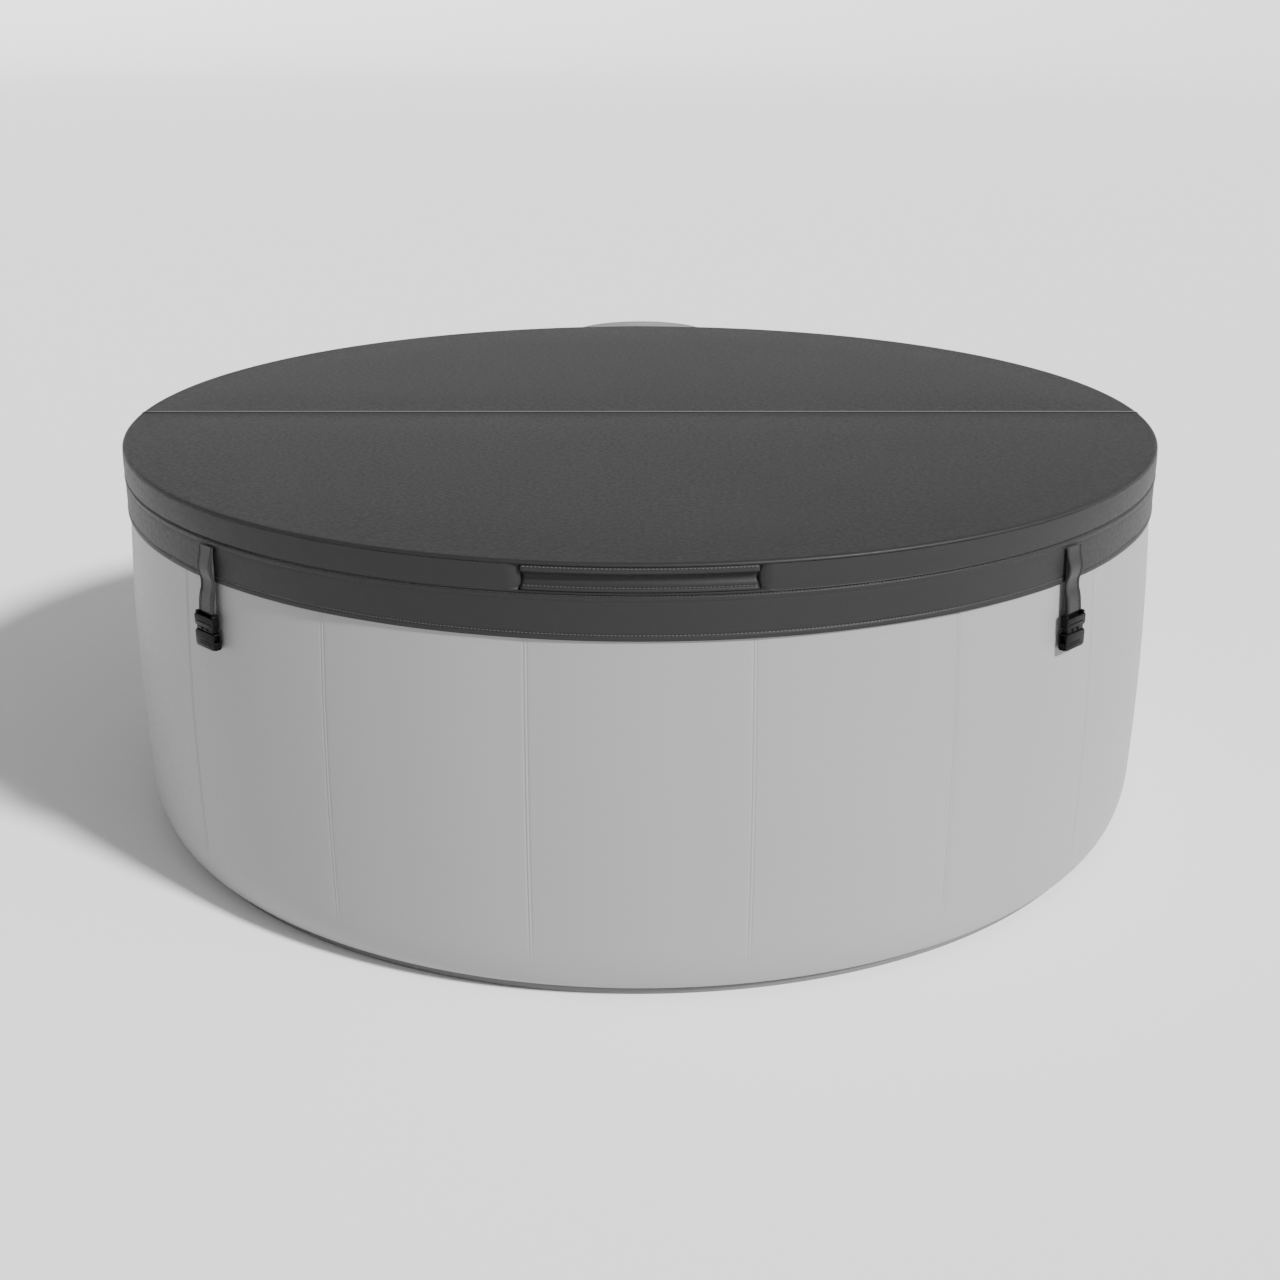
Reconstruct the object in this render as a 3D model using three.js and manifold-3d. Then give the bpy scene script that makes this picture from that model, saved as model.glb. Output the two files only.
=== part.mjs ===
// Inflatable hot tub: a round panelled air wall, a folding foam cover with buckled straps,
// and a pump, heater and blower unit standing behind it.
// Millimetres, +Z up. The tub's axis is Z and its foot stands on Z = 0.
// Bearings are counted in degrees from the front (-Y) towards +X.
import * as THREE from "three";
import { mergeVertices } from "three/addons/utils/BufferGeometryUtils.js";
import Module from "manifold-3d";

const wasm = await Module();
wasm.setup();

// ---- driving dimensions -------------------------------------------------------------------

const PANELS = 18;
const SIDES_PER_PANEL = 3;
const RING_SIDES = PANELS * SIDES_PER_PANEL;
const FOOT_SIDES = PANELS * 2;
const PANEL_ANGLE = 360 / PANELS;
const FIRST_SEAM = PANEL_ANGLE / 2;

const SKIN = 2;
const GAP = 0.5;

const BASE_RING_R = 980;
const BASE_RING_HEIGHT = 16.5;
const BASE_RING_WIDTH = 26;
const GROUND_SHEET_THICKNESS = 3;

const WALL_R_AT_SKIRT = 1014;
const WALL_R_MIDDLE = 1026;
const WALL_R_LOW = 1024;
const CORNER_ACROSS = 41;
const CORNER_UP = 102;
const CORNER_TOP = BASE_RING_HEIGHT + CORNER_UP;
const INNER_WALL_R = 808;
const WALL_TOP = 710;
const OUTER_RIM_ROUND = 50;
const INNER_RIM_ROUND = 45;
const RIM_WELD_GAP = 1.2;

const COVER_R = 1020;
const COVER_TOP = 762;
const COVER_UNDERSIDE = 710.6;
const JACKET = 1.5;
const SKIRT_BOTTOM = 638.5;
const FOLD_HALF_GAP = 4;
const HINGE_HEIGHT = COVER_TOP + 1;

const GRIP_HALF_ANGLE = 10.3;
const GRIP_LOW = 715;
const GRIP_HIGH = 756.6;
const GRIP_DEPTH = 15;

const FRONT_STRAP_BEARING = 44.8;
const REAR_STRAP_BEARING = 140;
const STRAP_WIDTH = 41;
const STRAP_THICKNESS = 3;
const STRAP_TOP = 701;
const BUCKLE_TOP = 586.5;
const BUCKLE_BOTTOM = 524;
const BUCKLE_BACK_R = 1025;
const BUCKLE_THICKNESS = 16.5;
const BUCKLE_WIDTH = 59;
const BUCKLE_FRONT_R = BUCKLE_BACK_R + BUCKLE_THICKNESS;
const BUCKLE_WAIST_TOP = 562;
const SOCKET_TOP = 554;
const TONGUE_BACK = BUCKLE_BACK_R + 5;
const TONGUE_FRONT = BUCKLE_FRONT_R - 5;
const TONGUE_END = BUCKLE_BOTTOM + 7;
const ARM_END = BUCKLE_BOTTOM + 15;
const TAB_BACK_R = 1021.5;
const TAB_HALF_WIDTH = 18;

const UNIT_Y = 1268;
const UNIT_TOP = 701;
const UNIT_TOP_R = 192;
const UNIT_FOOT_R = 200;
const UNIT_BASE_HEIGHT = 40;
const UNIT_LID_SEAM = 655;
const HOUSING_WALL = 3;
const UNIT_SIDES = 32;
const UNIT_TURN = 180 / UNIT_SIDES;
const PANEL_Y = UNIT_Y - 45;
const PANEL_HALF_X = 92;
const PANEL_HALF_Y = 42;
const PANEL_FLOOR = UNIT_TOP - 8;
const GLAND_R = 9;
const GLAND_Z = 90;

const PORT_X = 65;
const PORT_Z = 150;
const PORT_BORE = 19;
const PORT_R = 24;
const AIR_Z = 430;
const AIR_BORE = 9;
const AIR_R = 12;
const FITTING_END_Y = 1050;
const SPIGOT_START_Y = FITTING_END_Y + GAP;
const SPIGOT_END_Y = 1088;
const AIR_SPIGOT_END_Y = 1082;

const BUBBLE_RING_R = 772;
const BUBBLE_RING_Z = 34;
const BUBBLE_TUBE_R = 12.5;

const FILTER_R = 53;
const FILTER_BORE = 26;
const FILTER_FRONT = 704;
const FILTER_BACK = 786;
const FILTER_CAP_R = 60;
const FILTER_CAP_WALL = 3;

const VALVE_BEARING = 160;
const VALVE_Z = 560;
const VALVE_R = 20;
const VALVE_BORE = 11;
const DRAIN_BEARING = -160;
const DRAIN_Z = 76;
const DRAIN_R = 14;
const DRAIN_BORE = 10;

const BUTTON_NAMES = ["power_button", "heat_button", "filter_button", "bubble_button"];
const BUTTON_R = 10.6;
const BUTTON_HEIGHT = 6;
const BUTTON_SPACING = 38;
const BUTTON_Y = PANEL_Y - 18;

const PLUMBING_Y = 1100;
const PUMP_Y0 = 1125;
const PUMP_Y1 = 1170;
const PUMP_R = 52;
const MOTOR_R = 44;
const MOTOR_LENGTH = 120;

const BLOWER_LOW = 410;
const BLOWER_HIGH = 470;
const BLOWER_R = 100;

// ---- small helpers ------------------------------------------------------------------------

const rad = THREE.MathUtils.degToRad;
const point = (x, y) => new THREE.Vector2(x, y);

function solidOf(geometry) {
  const bare = geometry.index ? geometry.toNonIndexed() : geometry.clone();
  bare.deleteAttribute("normal");
  bare.deleteAttribute("uv");
  const merged = mergeVertices(bare, 1e-3);
  const triVerts = new Uint32Array(merged.index.array);
  const vertProperties = merged.attributes.position.array;
  return new wasm.Manifold(new wasm.Mesh({ numProp: 3, vertProperties, triVerts }));
}

function geometryOf(solid) {
  const mesh = solid.getMesh();
  const geometry = new THREE.BufferGeometry();
  geometry.setAttribute("position", new THREE.BufferAttribute(mesh.vertProperties, 3));
  geometry.setIndex(new THREE.BufferAttribute(mesh.triVerts, 1));
  geometry.computeVertexNormals();
  return geometry;
}

// Turns a geometry's faces round where they point inwards.
function facingOut(geometry) {
  const flat = geometry.index ? geometry.toNonIndexed() : geometry.clone();
  const at = flat.getAttribute("position");
  const [a, b, c] = [new THREE.Vector3(), new THREE.Vector3(), new THREE.Vector3()];
  let volume = 0;
  for (let i = 0; i < at.count; i += 3) {
    a.fromBufferAttribute(at, i);
    b.fromBufferAttribute(at, i + 1);
    c.fromBufferAttribute(at, i + 2);
    volume += a.dot(b.cross(c));
  }
  if (volume > 0) return flat;
  for (let i = 0; i < at.count; i += 3) {
    b.fromBufferAttribute(at, i + 1);
    c.fromBufferAttribute(at, i + 2);
    at.setXYZ(i + 1, c.x, c.y, c.z);
    at.setXYZ(i + 2, b.x, b.y, b.z);
  }
  return flat;
}

// A profile of (radius, height) points turned about Z. Profiles off the axis are closed rings.
function turned(profile, sides = RING_SIDES, start = FIRST_SEAM) {
  const onAxis = profile[0].x === 0 && profile.at(-1).x === 0;
  const closed = onAxis ? profile : [...profile, profile[0]];
  const lathe = new THREE.LatheGeometry(closed, sides, rad(start));
  return facingOut(lathe.rotateX(Math.PI / 2));
}

// The same about Y, for fittings that run through the wall.
function turnedAlongY(profile, sides, x = 0, z = 0) {
  const onAxis = profile[0].x === 0 && profile.at(-1).x === 0;
  const closed = onAxis ? profile : [...profile, profile[0]];
  return facingOut(new THREE.LatheGeometry(closed, sides).translate(x, 0, z));
}

const rectangle = (r0, r1, z0, z1) => [point(r0, z0), point(r1, z0), point(r1, z1), point(r0, z1)];

const disc = (r, z0, z1) => [point(0, z0), point(r, z0), point(r, z1), point(0, z1)];

function ellipseArc(centreR, centreZ, across, up, from, to, steps) {
  return Array.from({ length: steps + 1 }, (_, i) => {
    const t = rad(from + ((to - from) * i) / steps);
    return point(centreR + across * Math.cos(t), centreZ + up * Math.sin(t));
  });
}

// A skin of even thickness on the left of a line of points, as a closed outline.
function skinOutline(line, thickness) {
  const inside = line.map((p, i) => {
    const before = line[Math.max(i - 1, 0)];
    const after = line[Math.min(i + 1, line.length - 1)];
    const along = after.clone().sub(before).normalize();
    return point(p.x - along.y * thickness, p.y + along.x * thickness);
  });
  return [...line, ...inside.reverse()];
}

function box(x0, x1, y0, y1, z0, z1) {
  const block = new THREE.BoxGeometry(x1 - x0, y1 - y0, z1 - z0);
  return block.translate((x0 + x1) / 2, (y0 + y1) / 2, (z0 + z1) / 2);
}

const boxSolid = (...sides) => solidOf(box(...sides));

function rodAlongY(r, y0, y1, x, z, sides = 14) {
  return new THREE.CylinderGeometry(r, r, y1 - y0, sides).translate(x, (y0 + y1) / 2, z);
}

function rodAlongZ(r, z0, z1, x, y, sides = 24) {
  const rod = new THREE.CylinderGeometry(r, r, z1 - z0, sides).rotateX(Math.PI / 2);
  return rod.translate(x, y, (z0 + z1) / 2);
}

// An outline of (outward, height) points as a plate with its width along X.
function plateAcrossX(outline, width) {
  const shape = new THREE.Shape(outline);
  const plate = new THREE.ExtrudeGeometry(shape, { depth: width, bevelEnabled: false });
  plate.translate(0, 0, -width / 2);
  const [x, y, z] = [0, 1, 2].map((i) => new THREE.Vector3().setComponent(i, 1));
  return plate.applyMatrix4(new THREE.Matrix4().makeBasis(y, z, x));
}

const finishes = {
  paleVinyl: [0xb4b4b4, 0.55],
  darkBand: [0x8a8a8a, 0.6],
  coverVinyl: [0x4d4d4d, 0.6],
  foam: [0xe8e4da, 0.9],
  webbing: [0x3a3a3a, 0.8],
  buckle: [0x1c1c1c, 0.5],
  paleShell: [0xa4a4a4, 0.5],
  darkShell: [0x3c3f42, 0.5],
  button: [0xd8dadb, 0.4],
  fitting: [0x6c7074, 0.5],
  paper: [0xe9ecef, 0.9],
  metal: [0x9a9a9c, 0.35],
};

function finish(name) {
  const [color, roughness] = finishes[name];
  const metalness = name === "metal" ? 0.8 : 0;
  return new THREE.MeshStandardMaterial({ color, roughness, metalness });
}

const hotTub = new THREE.Group();

function add(name, geometry, finishName, group = hotTub) {
  const mesh = new THREE.Mesh(geometry, finish(finishName));
  mesh.name = name;
  group.add(mesh);
  return mesh;
}

// A group whose +Y points outwards at a bearing.
function groupAt(bearing) {
  const group = new THREE.Group();
  group.rotation.z = rad(bearing + 180);
  hotTub.add(group);
  return group;
}

// ---- tub skins ----------------------------------------------------------------------------

// The wall's outer radius: one shallow bulge from the lower corner to the skirt's hem.
function wallRadius(z) {
  const s = (SKIRT_BOTTOM - z) / (SKIRT_BOTTOM - CORNER_TOP);
  const top = WALL_R_AT_SKIRT * (1 - s) * (1 - 2 * s);
  const middle = WALL_R_MIDDLE * 4 * s * (1 - s);
  const low = WALL_R_LOW * s * (2 * s - 1);
  return top + middle + low;
}

function outerWallLine() {
  const cornerR = WALL_R_LOW - CORNER_ACROSS;
  const rimR = WALL_R_AT_SKIRT - OUTER_RIM_ROUND;
  const rimZ = WALL_TOP - OUTER_RIM_ROUND;
  const cornerUp = CORNER_UP - GAP;
  const corner = ellipseArc(cornerR, CORNER_TOP, CORNER_ACROSS, cornerUp, -90, 0, 3);
  const heights = [300, 480, SKIRT_BOTTOM];
  const side = heights.map((z) => point(wallRadius(z), z));
  const rim = ellipseArc(rimR, rimZ, OUTER_RIM_ROUND, OUTER_RIM_ROUND, 0, 90, 2);
  return [...corner, ...side, ...rim];
}

function innerWallLine() {
  const rimR = INNER_WALL_R + INNER_RIM_ROUND;
  const rimZ = WALL_TOP - INNER_RIM_ROUND;
  const rim = ellipseArc(rimR, rimZ, INNER_RIM_ROUND, INNER_RIM_ROUND, 90, 180, 2);
  return [...rim, point(INNER_WALL_R, BASE_RING_HEIGHT + SKIN + 2 * GAP)];
}

// One upright web inside the air wall, as an outline of (radius, height).
const WEB_OUTLINE = [
  [812, 18], [975, 18], [1008, 75], [1020, 130], [1023, 340], [1019, 500], [1011, 640],
  [1010, 660], [985, 697], [840, 697], [812, 665],
].map(([r, z]) => point(r, z));

function beamWebs() {
  const innerR = INNER_WALL_R + SKIN + GAP;
  const outerR = WALL_R_LOW - CORNER_ACROSS - 2 * SKIN;
  const floor = BASE_RING_HEIGHT + GAP;
  let webs = solidOf(turned(rectangle(innerR, outerR, floor, floor + SKIN)));
  for (let i = 0; i < PANELS; i++) {
    const web = plateAcrossX(WEB_OUTLINE, SKIN);
    web.rotateZ(rad(FIRST_SEAM + i * PANEL_ANGLE + 180));
    webs = webs.add(solidOf(web));
  }
  return webs;
}

// The holes that the fittings need in the two upright skins.
function fittingHoles() {
  const outward = (bearing) => new THREE.Matrix4().makeRotationZ(rad(bearing + 180));
  const clear = 0.8;
  const holes = [-PORT_X, PORT_X].map((x) => rodAlongY(PORT_R + clear, 700, 1100, x, PORT_Z));
  holes.push(rodAlongY(AIR_R + clear, 950, 1100, 0, AIR_Z));
  holes.push(rodAlongY(AIR_R + clear, 790, 850, 0, BUBBLE_RING_Z));
  const valve = rodAlongY(VALVE_R + clear, 950, 1100, 0, VALVE_Z);
  holes.push(valve.applyMatrix4(outward(VALVE_BEARING)));
  const drain = rodAlongY(DRAIN_R + clear, 700, 1100, 0, DRAIN_Z);
  holes.push(drain.applyMatrix4(outward(DRAIN_BEARING)));
  return holes.map(solidOf).reduce((all, hole) => all.add(hole));
}

function addTubSkins() {
  const holes = fittingHoles();
  const outer = solidOf(turned(skinOutline(outerWallLine(), SKIN)));
  const inner = solidOf(turned(skinOutline(innerWallLine(), SKIN)));
  const floorZ = BASE_RING_HEIGHT + GAP;
  const rimInner = INNER_WALL_R + INNER_RIM_ROUND + RIM_WELD_GAP;
  const rimOuter = WALL_R_AT_SKIRT - OUTER_RIM_ROUND - RIM_WELD_GAP;
  const ringInner = BASE_RING_R - BASE_RING_WIDTH;
  add("outer_wall", geometryOf(outer.subtract(holes)), "paleVinyl");
  add("inner_wall", geometryOf(inner.subtract(holes)), "paleVinyl");
  add("top_rim", turned(rectangle(rimInner, rimOuter, WALL_TOP - SKIN, WALL_TOP)), "paleVinyl");
  add("beam_webs", geometryOf(beamWebs()), "paleVinyl");
  const ring = rectangle(ringInner, BASE_RING_R, 0, BASE_RING_HEIGHT);
  const sheet = disc(ringInner - GAP, 0, GROUND_SHEET_THICKNESS);
  add("base_ring", turned(ring, FOOT_SIDES), "darkBand");
  add("ground_sheet", turned(sheet, FOOT_SIDES), "darkBand");
  add("tub_floor", turned(disc(INNER_WALL_R - GAP, floorZ, floorZ + 3)), "paleVinyl");
  const tube = ellipseArc(BUBBLE_RING_R, BUBBLE_RING_Z, BUBBLE_TUBE_R, BUBBLE_TUBE_R, 0, 300, 5);
  add("bubble_ring", turned(tube, FOOT_SIDES), "fitting");
}

// ---- fittings through the wall ------------------------------------------------------------

// A welded water port: inner flange, tube across the air chamber, outer flange, threaded neck.
const PORT_PROFILE = [
  [PORT_BORE, 789], [40, 789], [40, 795], [PORT_R, 795], [PORT_R, 1028], [38, 1028],
  [38, 1033], [PORT_R, 1033], [PORT_R, FITTING_END_Y], [PORT_BORE, FITTING_END_Y],
].map(([r, y]) => point(r, y));

// The air line: in through the outer wall, down inside the chamber, out at the floor ring.
function airPort() {
  const chamberY = 905;
  const bend = 40;
  const ringSide = BUBBLE_RING_R + BUBBLE_TUBE_R + GAP;
  const at = (y, z) => new THREE.Vector3(0, y, z);
  const route = new THREE.CurvePath();
  route.add(new THREE.LineCurve3(at(FITTING_END_Y, AIR_Z), at(chamberY + bend, AIR_Z)));
  const upper = [at(chamberY + bend, AIR_Z), at(chamberY, AIR_Z), at(chamberY, AIR_Z - bend)];
  route.add(new THREE.QuadraticBezierCurve3(...upper));
  route.add(new THREE.LineCurve3(upper[2], at(chamberY, BUBBLE_RING_Z + bend)));
  const lower = [
    at(chamberY, BUBBLE_RING_Z + bend),
    at(chamberY, BUBBLE_RING_Z),
    at(chamberY - bend, BUBBLE_RING_Z),
  ];
  route.add(new THREE.QuadraticBezierCurve3(...lower));
  route.add(new THREE.LineCurve3(lower[2], at(ringSide, BUBBLE_RING_Z)));
  const section = new THREE.Shape().absarc(0, 0, AIR_R, 0, 2 * Math.PI);
  section.holes.push(new THREE.Path().absarc(0, 0, AIR_BORE, 0, 2 * Math.PI, true));
  const options = { extrudePath: route, steps: 20, curveSegments: 4, bevelEnabled: false };
  const tube = solidOf(facingOut(new THREE.ExtrudeGeometry(section, options)));
  const collar = [point(AIR_R - 1, 1028), point(26, 1028), point(26, 1033), point(AIR_R - 1, 1033)];
  return tube.add(solidOf(turnedAlongY(collar, 20, 0, AIR_Z)));
}

function unionNut(bore, outer, x, z) {
  const [back, front] = [1034, 1062];
  const step = 4;
  const profile = [
    [bore, back], [outer - 2, back], [outer, back + step], [outer, front - step],
    [outer - 2, front], [bore, front],
  ].map(([r, y]) => point(r, y));
  return turnedAlongY(profile, 16, x, z);
}

function addWallFittings() {
  add("inlet_port", turnedAlongY(PORT_PROFILE, 16, -PORT_X, PORT_Z), "fitting");
  add("outlet_port", turnedAlongY(PORT_PROFILE, 16, PORT_X, PORT_Z), "fitting");
  add("air_port", geometryOf(airPort()), "fitting");
  add("inlet_nut", unionNut(PORT_R + GAP, 33, -PORT_X, PORT_Z), "darkShell");
  add("outlet_nut", unionNut(PORT_R + GAP, 33, PORT_X, PORT_Z), "darkShell");
  add("air_nut", unionNut(AIR_R + GAP, 21, 0, AIR_Z), "darkShell");
}

// A cup over the cartridge, with slots all round for the water.
function filterCap() {
  const inner = FILTER_CAP_R - FILTER_CAP_WALL;
  const front = FILTER_FRONT - 8;
  const profile = [
    [0, front], [FILTER_CAP_R - 4, front], [FILTER_CAP_R, front + 4], [FILTER_CAP_R, FILTER_BACK],
    [inner, FILTER_BACK], [inner, FILTER_FRONT - 4], [0, FILTER_FRONT - 4],
  ].map(([r, y]) => point(r, y));
  let cap = solidOf(turnedAlongY(profile, 24, -PORT_X, PORT_Z));
  const slots = 3;
  for (let i = 0; i < slots; i++) {
    const slot = box(-FILTER_CAP_R - 5, FILTER_CAP_R + 5, FILTER_FRONT + 10, FILTER_BACK - 16, -6, 6);
    slot.rotateY((Math.PI * (i + 0.5)) / slots).translate(-PORT_X, 0, PORT_Z);
    cap = cap.subtract(solidOf(slot));
  }
  return cap;
}

function filterCartridge() {
  const profile = rectangle(FILTER_BORE, FILTER_R, FILTER_FRONT, FILTER_BACK - 4);
  return turnedAlongY(profile, 24, -PORT_X, PORT_Z);
}

// A shallow slotted dome over the outlet, inside the tub.
function outletScreen() {
  const profile = [
    [0, 768], [22, 770], [36, 776], [38, 788], [34, 788], [32, 779], [20, 774], [0, 772],
  ].map(([r, y]) => point(r, y));
  let screen = solidOf(turnedAlongY(profile, 16, PORT_X, PORT_Z));
  for (const z of [-12, 0, 12]) {
    const slot = boxSolid(PORT_X - 18, PORT_X + 18, 760, 790, PORT_Z + z - 2.5, PORT_Z + z + 2.5);
    screen = screen.subtract(slot);
  }
  return screen;
}

function addFilter() {
  add("filter_cartridge", filterCartridge(), "paper");
  add("filter_cap", geometryOf(filterCap()), "paleShell");
  add("outlet_screen", geometryOf(outletScreen()), "paleShell");
}

function addValves() {
  const valve = groupAt(VALVE_BEARING);
  const face = wallRadius(VALVE_Z) + 1;
  const valveBody = [
    [VALVE_BORE, face - 30], [VALVE_R, face - 30], [VALVE_R, face], [32, face],
    [32, face + 4], [VALVE_BORE, face + 4],
  ].map(([r, y]) => point(r, y));
  const valveCap = [
    [0, face + 4.5], [24, face + 4.5], [24, face + 14], [20, face + 17], [0, face + 17],
  ].map(([r, y]) => point(r, y));
  add("air_valve", turnedAlongY(valveBody, 20, 0, VALVE_Z), "fitting", valve);
  add("air_valve_cap", turnedAlongY(valveCap, 20, 0, VALVE_Z), "paleShell", valve);
  const drain = groupAt(DRAIN_BEARING);
  const drainBody = [
    [DRAIN_BORE, 790], [24, 790], [24, 796], [DRAIN_R, 796], [DRAIN_R, 1027], [24, 1027],
    [24, 1031], [16, 1031], [16, 1046], [DRAIN_BORE, 1046],
  ].map(([r, y]) => point(r, y));
  const drainCap = [
    [0, 1046.5], [16.5, 1046.5], [16.5, 1031.5], [22, 1031.5], [22, 1048],
    [20, 1050.5], [0, 1050.5],
  ].map(([r, y]) => point(r, y));
  add("drain_valve", turnedAlongY(drainBody, 16, 0, DRAIN_Z), "fitting", drain);
  add("drain_cap", turnedAlongY(drainCap, 16, 0, DRAIN_Z), "darkShell", drain);
}

// ---- cover --------------------------------------------------------------------------------

// The half of space that one half of the cover lies in: side -1 is the front, +1 the rear.
function halfSpace(side, gap) {
  const far = side * 1200;
  const [y0, y1] = [side * gap, far].sort((a, b) => a - b);
  return boxSolid(-1200, 1200, y0, y1, 600, 800);
}

// A wedge about Z that is as wide as the grip, give or take.
function gripWedge(extra) {
  const half = rad(GRIP_HALF_ANGLE) + extra / COVER_R;
  const [x, y] = [1200 * Math.sin(half), -1200 * Math.cos(half)];
  const outline = new THREE.Shape([point(0, 0), point(-x, y), point(x, y)]);
  const wedge = new THREE.ExtrudeGeometry(outline, { depth: 200, bevelEnabled: false });
  return solidOf(wedge.translate(0, 0, 620));
}

// A band cut out of the cover's edge for the grip.
function gripNotch(clear) {
  const depth = COVER_R - GRIP_DEPTH - clear;
  const ring = turned(rectangle(depth, COVER_R + 10, GRIP_LOW - clear, GRIP_HIGH + clear));
  return solidOf(ring).intersect(gripWedge(clear));
}

function jacket(side) {
  const outer = solidOf(turned(disc(COVER_R, COVER_UNDERSIDE, COVER_TOP)));
  const inside = disc(COVER_R - JACKET, COVER_UNDERSIDE + JACKET, COVER_TOP - JACKET);
  const shell = outer.subtract(solidOf(turned(inside)));
  return shell.intersect(halfSpace(side, FOLD_HALF_GAP));
}

function foam(side) {
  const clear = JACKET + GAP;
  const board = solidOf(turned(disc(COVER_R - clear, COVER_UNDERSIDE + clear, COVER_TOP - clear)));
  return board.intersect(halfSpace(side, FOLD_HALF_GAP + GAP));
}

function skirt(side) {
  const ring = turned(rectangle(COVER_R - JACKET, COVER_R, SKIRT_BOTTOM, COVER_UNDERSIDE - GAP));
  return solidOf(ring).intersect(halfSpace(side, FOLD_HALF_GAP));
}

// The grip: a moulded channel, hollow to the front, with a rounded back.
function gripChannel() {
  const face = COVER_R - GAP;
  const back = COVER_R - GRIP_DEPTH + GAP;
  const wall = 2.5;
  const middle = (GRIP_LOW + GRIP_HIGH) / 2;
  const half = (GRIP_HIGH - GRIP_LOW) / 2 - 1;
  const hollow = ellipseArc(face, middle, GRIP_DEPTH - 2 * wall, half - wall, -90, -270, 6);
  const outline = [...hollow, point(face, middle + half), point(back, middle + half),
    point(back, middle - half), point(face, middle - half)];
  return solidOf(turned(outline)).intersect(gripWedge(-1));
}

function addCover() {
  const notchInJacket = gripNotch(0);
  const notchInFoam = gripNotch(GAP);
  add("rear_jacket", geometryOf(jacket(1)), "coverVinyl");
  add("front_jacket", geometryOf(jacket(-1).subtract(notchInJacket)), "coverVinyl");
  add("rear_foam", geometryOf(foam(1)), "foam");
  add("front_foam", geometryOf(foam(-1).subtract(notchInFoam)), "foam");
  add("rear_skirt", geometryOf(skirt(1)), "coverVinyl");
  add("front_skirt", geometryOf(skirt(-1)), "coverVinyl");
  add("grip_channel", geometryOf(gripChannel()), "coverVinyl");
  const reach = COVER_R - 10;
  const half = FOLD_HALF_GAP - 1;
  const strip = box(-reach, reach, -half, half, HINGE_HEIGHT - 1, HINGE_HEIGHT);
  add("hinge_strip", strip, "coverVinyl");
}

// ---- straps and buckles -------------------------------------------------------------------

// The strap's line from its sewn top to the buckle: out, in at the hem, and out again.
function strapOutline() {
  const line = new THREE.SplineCurve([
    [1022.8, STRAP_TOP], [1027, 688], [1034.5, 668], [1033, 653], [1027.5, 640],
    [1028, 627], [1032.5, 612], [1033.5, BUCKLE_TOP + 0.5],
  ].map(([r, z]) => point(r, z)));
  const back = line.getPoints(10).map((p) => point(p.x - STRAP_THICKNESS / 2, p.y));
  return skinOutline(back, STRAP_THICKNESS);
}

// The strap's half of the buckle: a head with a web slot, a tongue and two side arms.
function bucklePlug() {
  const half = BUCKLE_WIDTH / 2;
  const back = BUCKLE_BACK_R + 1;
  const front = BUCKLE_FRONT_R - 1;
  const head = boxSolid(-half, half, back, front, BUCKLE_WAIST_TOP, BUCKLE_TOP);
  const slot = boxSolid(-22, 22, back + 3.5, front - 3.5, BUCKLE_TOP - 12, BUCKLE_TOP + 1);
  const tongue = boxSolid(-11, 11, TONGUE_BACK, TONGUE_FRONT, TONGUE_END, BUCKLE_WAIST_TOP + 1);
  let plug = head.subtract(slot).add(tongue);
  for (const side of [-1, 1]) {
    const [x0, x1] = [side * 16, side * 22].sort((a, b) => a - b);
    plug = plug.add(boxSolid(x0, x1, TONGUE_BACK, TONGUE_FRONT, ARM_END, BUCKLE_WAIST_TOP + 1));
  }
  return plug;
}

// The wall's half: a block open at the top, with a window in each side for the arms.
function buckleSocket() {
  const half = BUCKLE_WIDTH / 2 - 1;
  const back = TONGUE_BACK - 1;
  const front = TONGUE_FRONT + 1;
  const block = boxSolid(-half, half, BUCKLE_BACK_R, BUCKLE_FRONT_R, BUCKLE_BOTTOM, SOCKET_TOP);
  const hollow = boxSolid(-23, 23, back, front, BUCKLE_BOTTOM + 4, SOCKET_TOP + 1);
  const windows = boxSolid(-half - 1, half + 1, back + 1, front - 1, ARM_END - 1, SOCKET_TOP - 4);
  return block.subtract(hollow).subtract(windows);
}

function addStraps() {
  const places = {
    front_left: -FRONT_STRAP_BEARING,
    front_right: FRONT_STRAP_BEARING,
    rear_right: REAR_STRAP_BEARING,
    rear_left: -REAR_STRAP_BEARING,
  };
  for (const [place, bearing] of Object.entries(places)) {
    const group = groupAt(bearing);
    add("strap_" + place, plateAcrossX(strapOutline(), STRAP_WIDTH), "webbing", group);
    add("buckle_plug_" + place, geometryOf(bucklePlug()), "buckle", group);
    add("buckle_socket_" + place, geometryOf(buckleSocket()), "buckle", group);
    const across = [-TAB_HALF_WIDTH, TAB_HALF_WIDTH];
    const up = [BUCKLE_BOTTOM + 3, SOCKET_TOP - 3];
    const tab = box(...across, TAB_BACK_R, BUCKLE_BACK_R - 1.5, ...up);
    add("wall_tab_" + place, tab, "webbing", group);
  }
}

// ---- pump and heater unit -----------------------------------------------------------------

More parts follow.
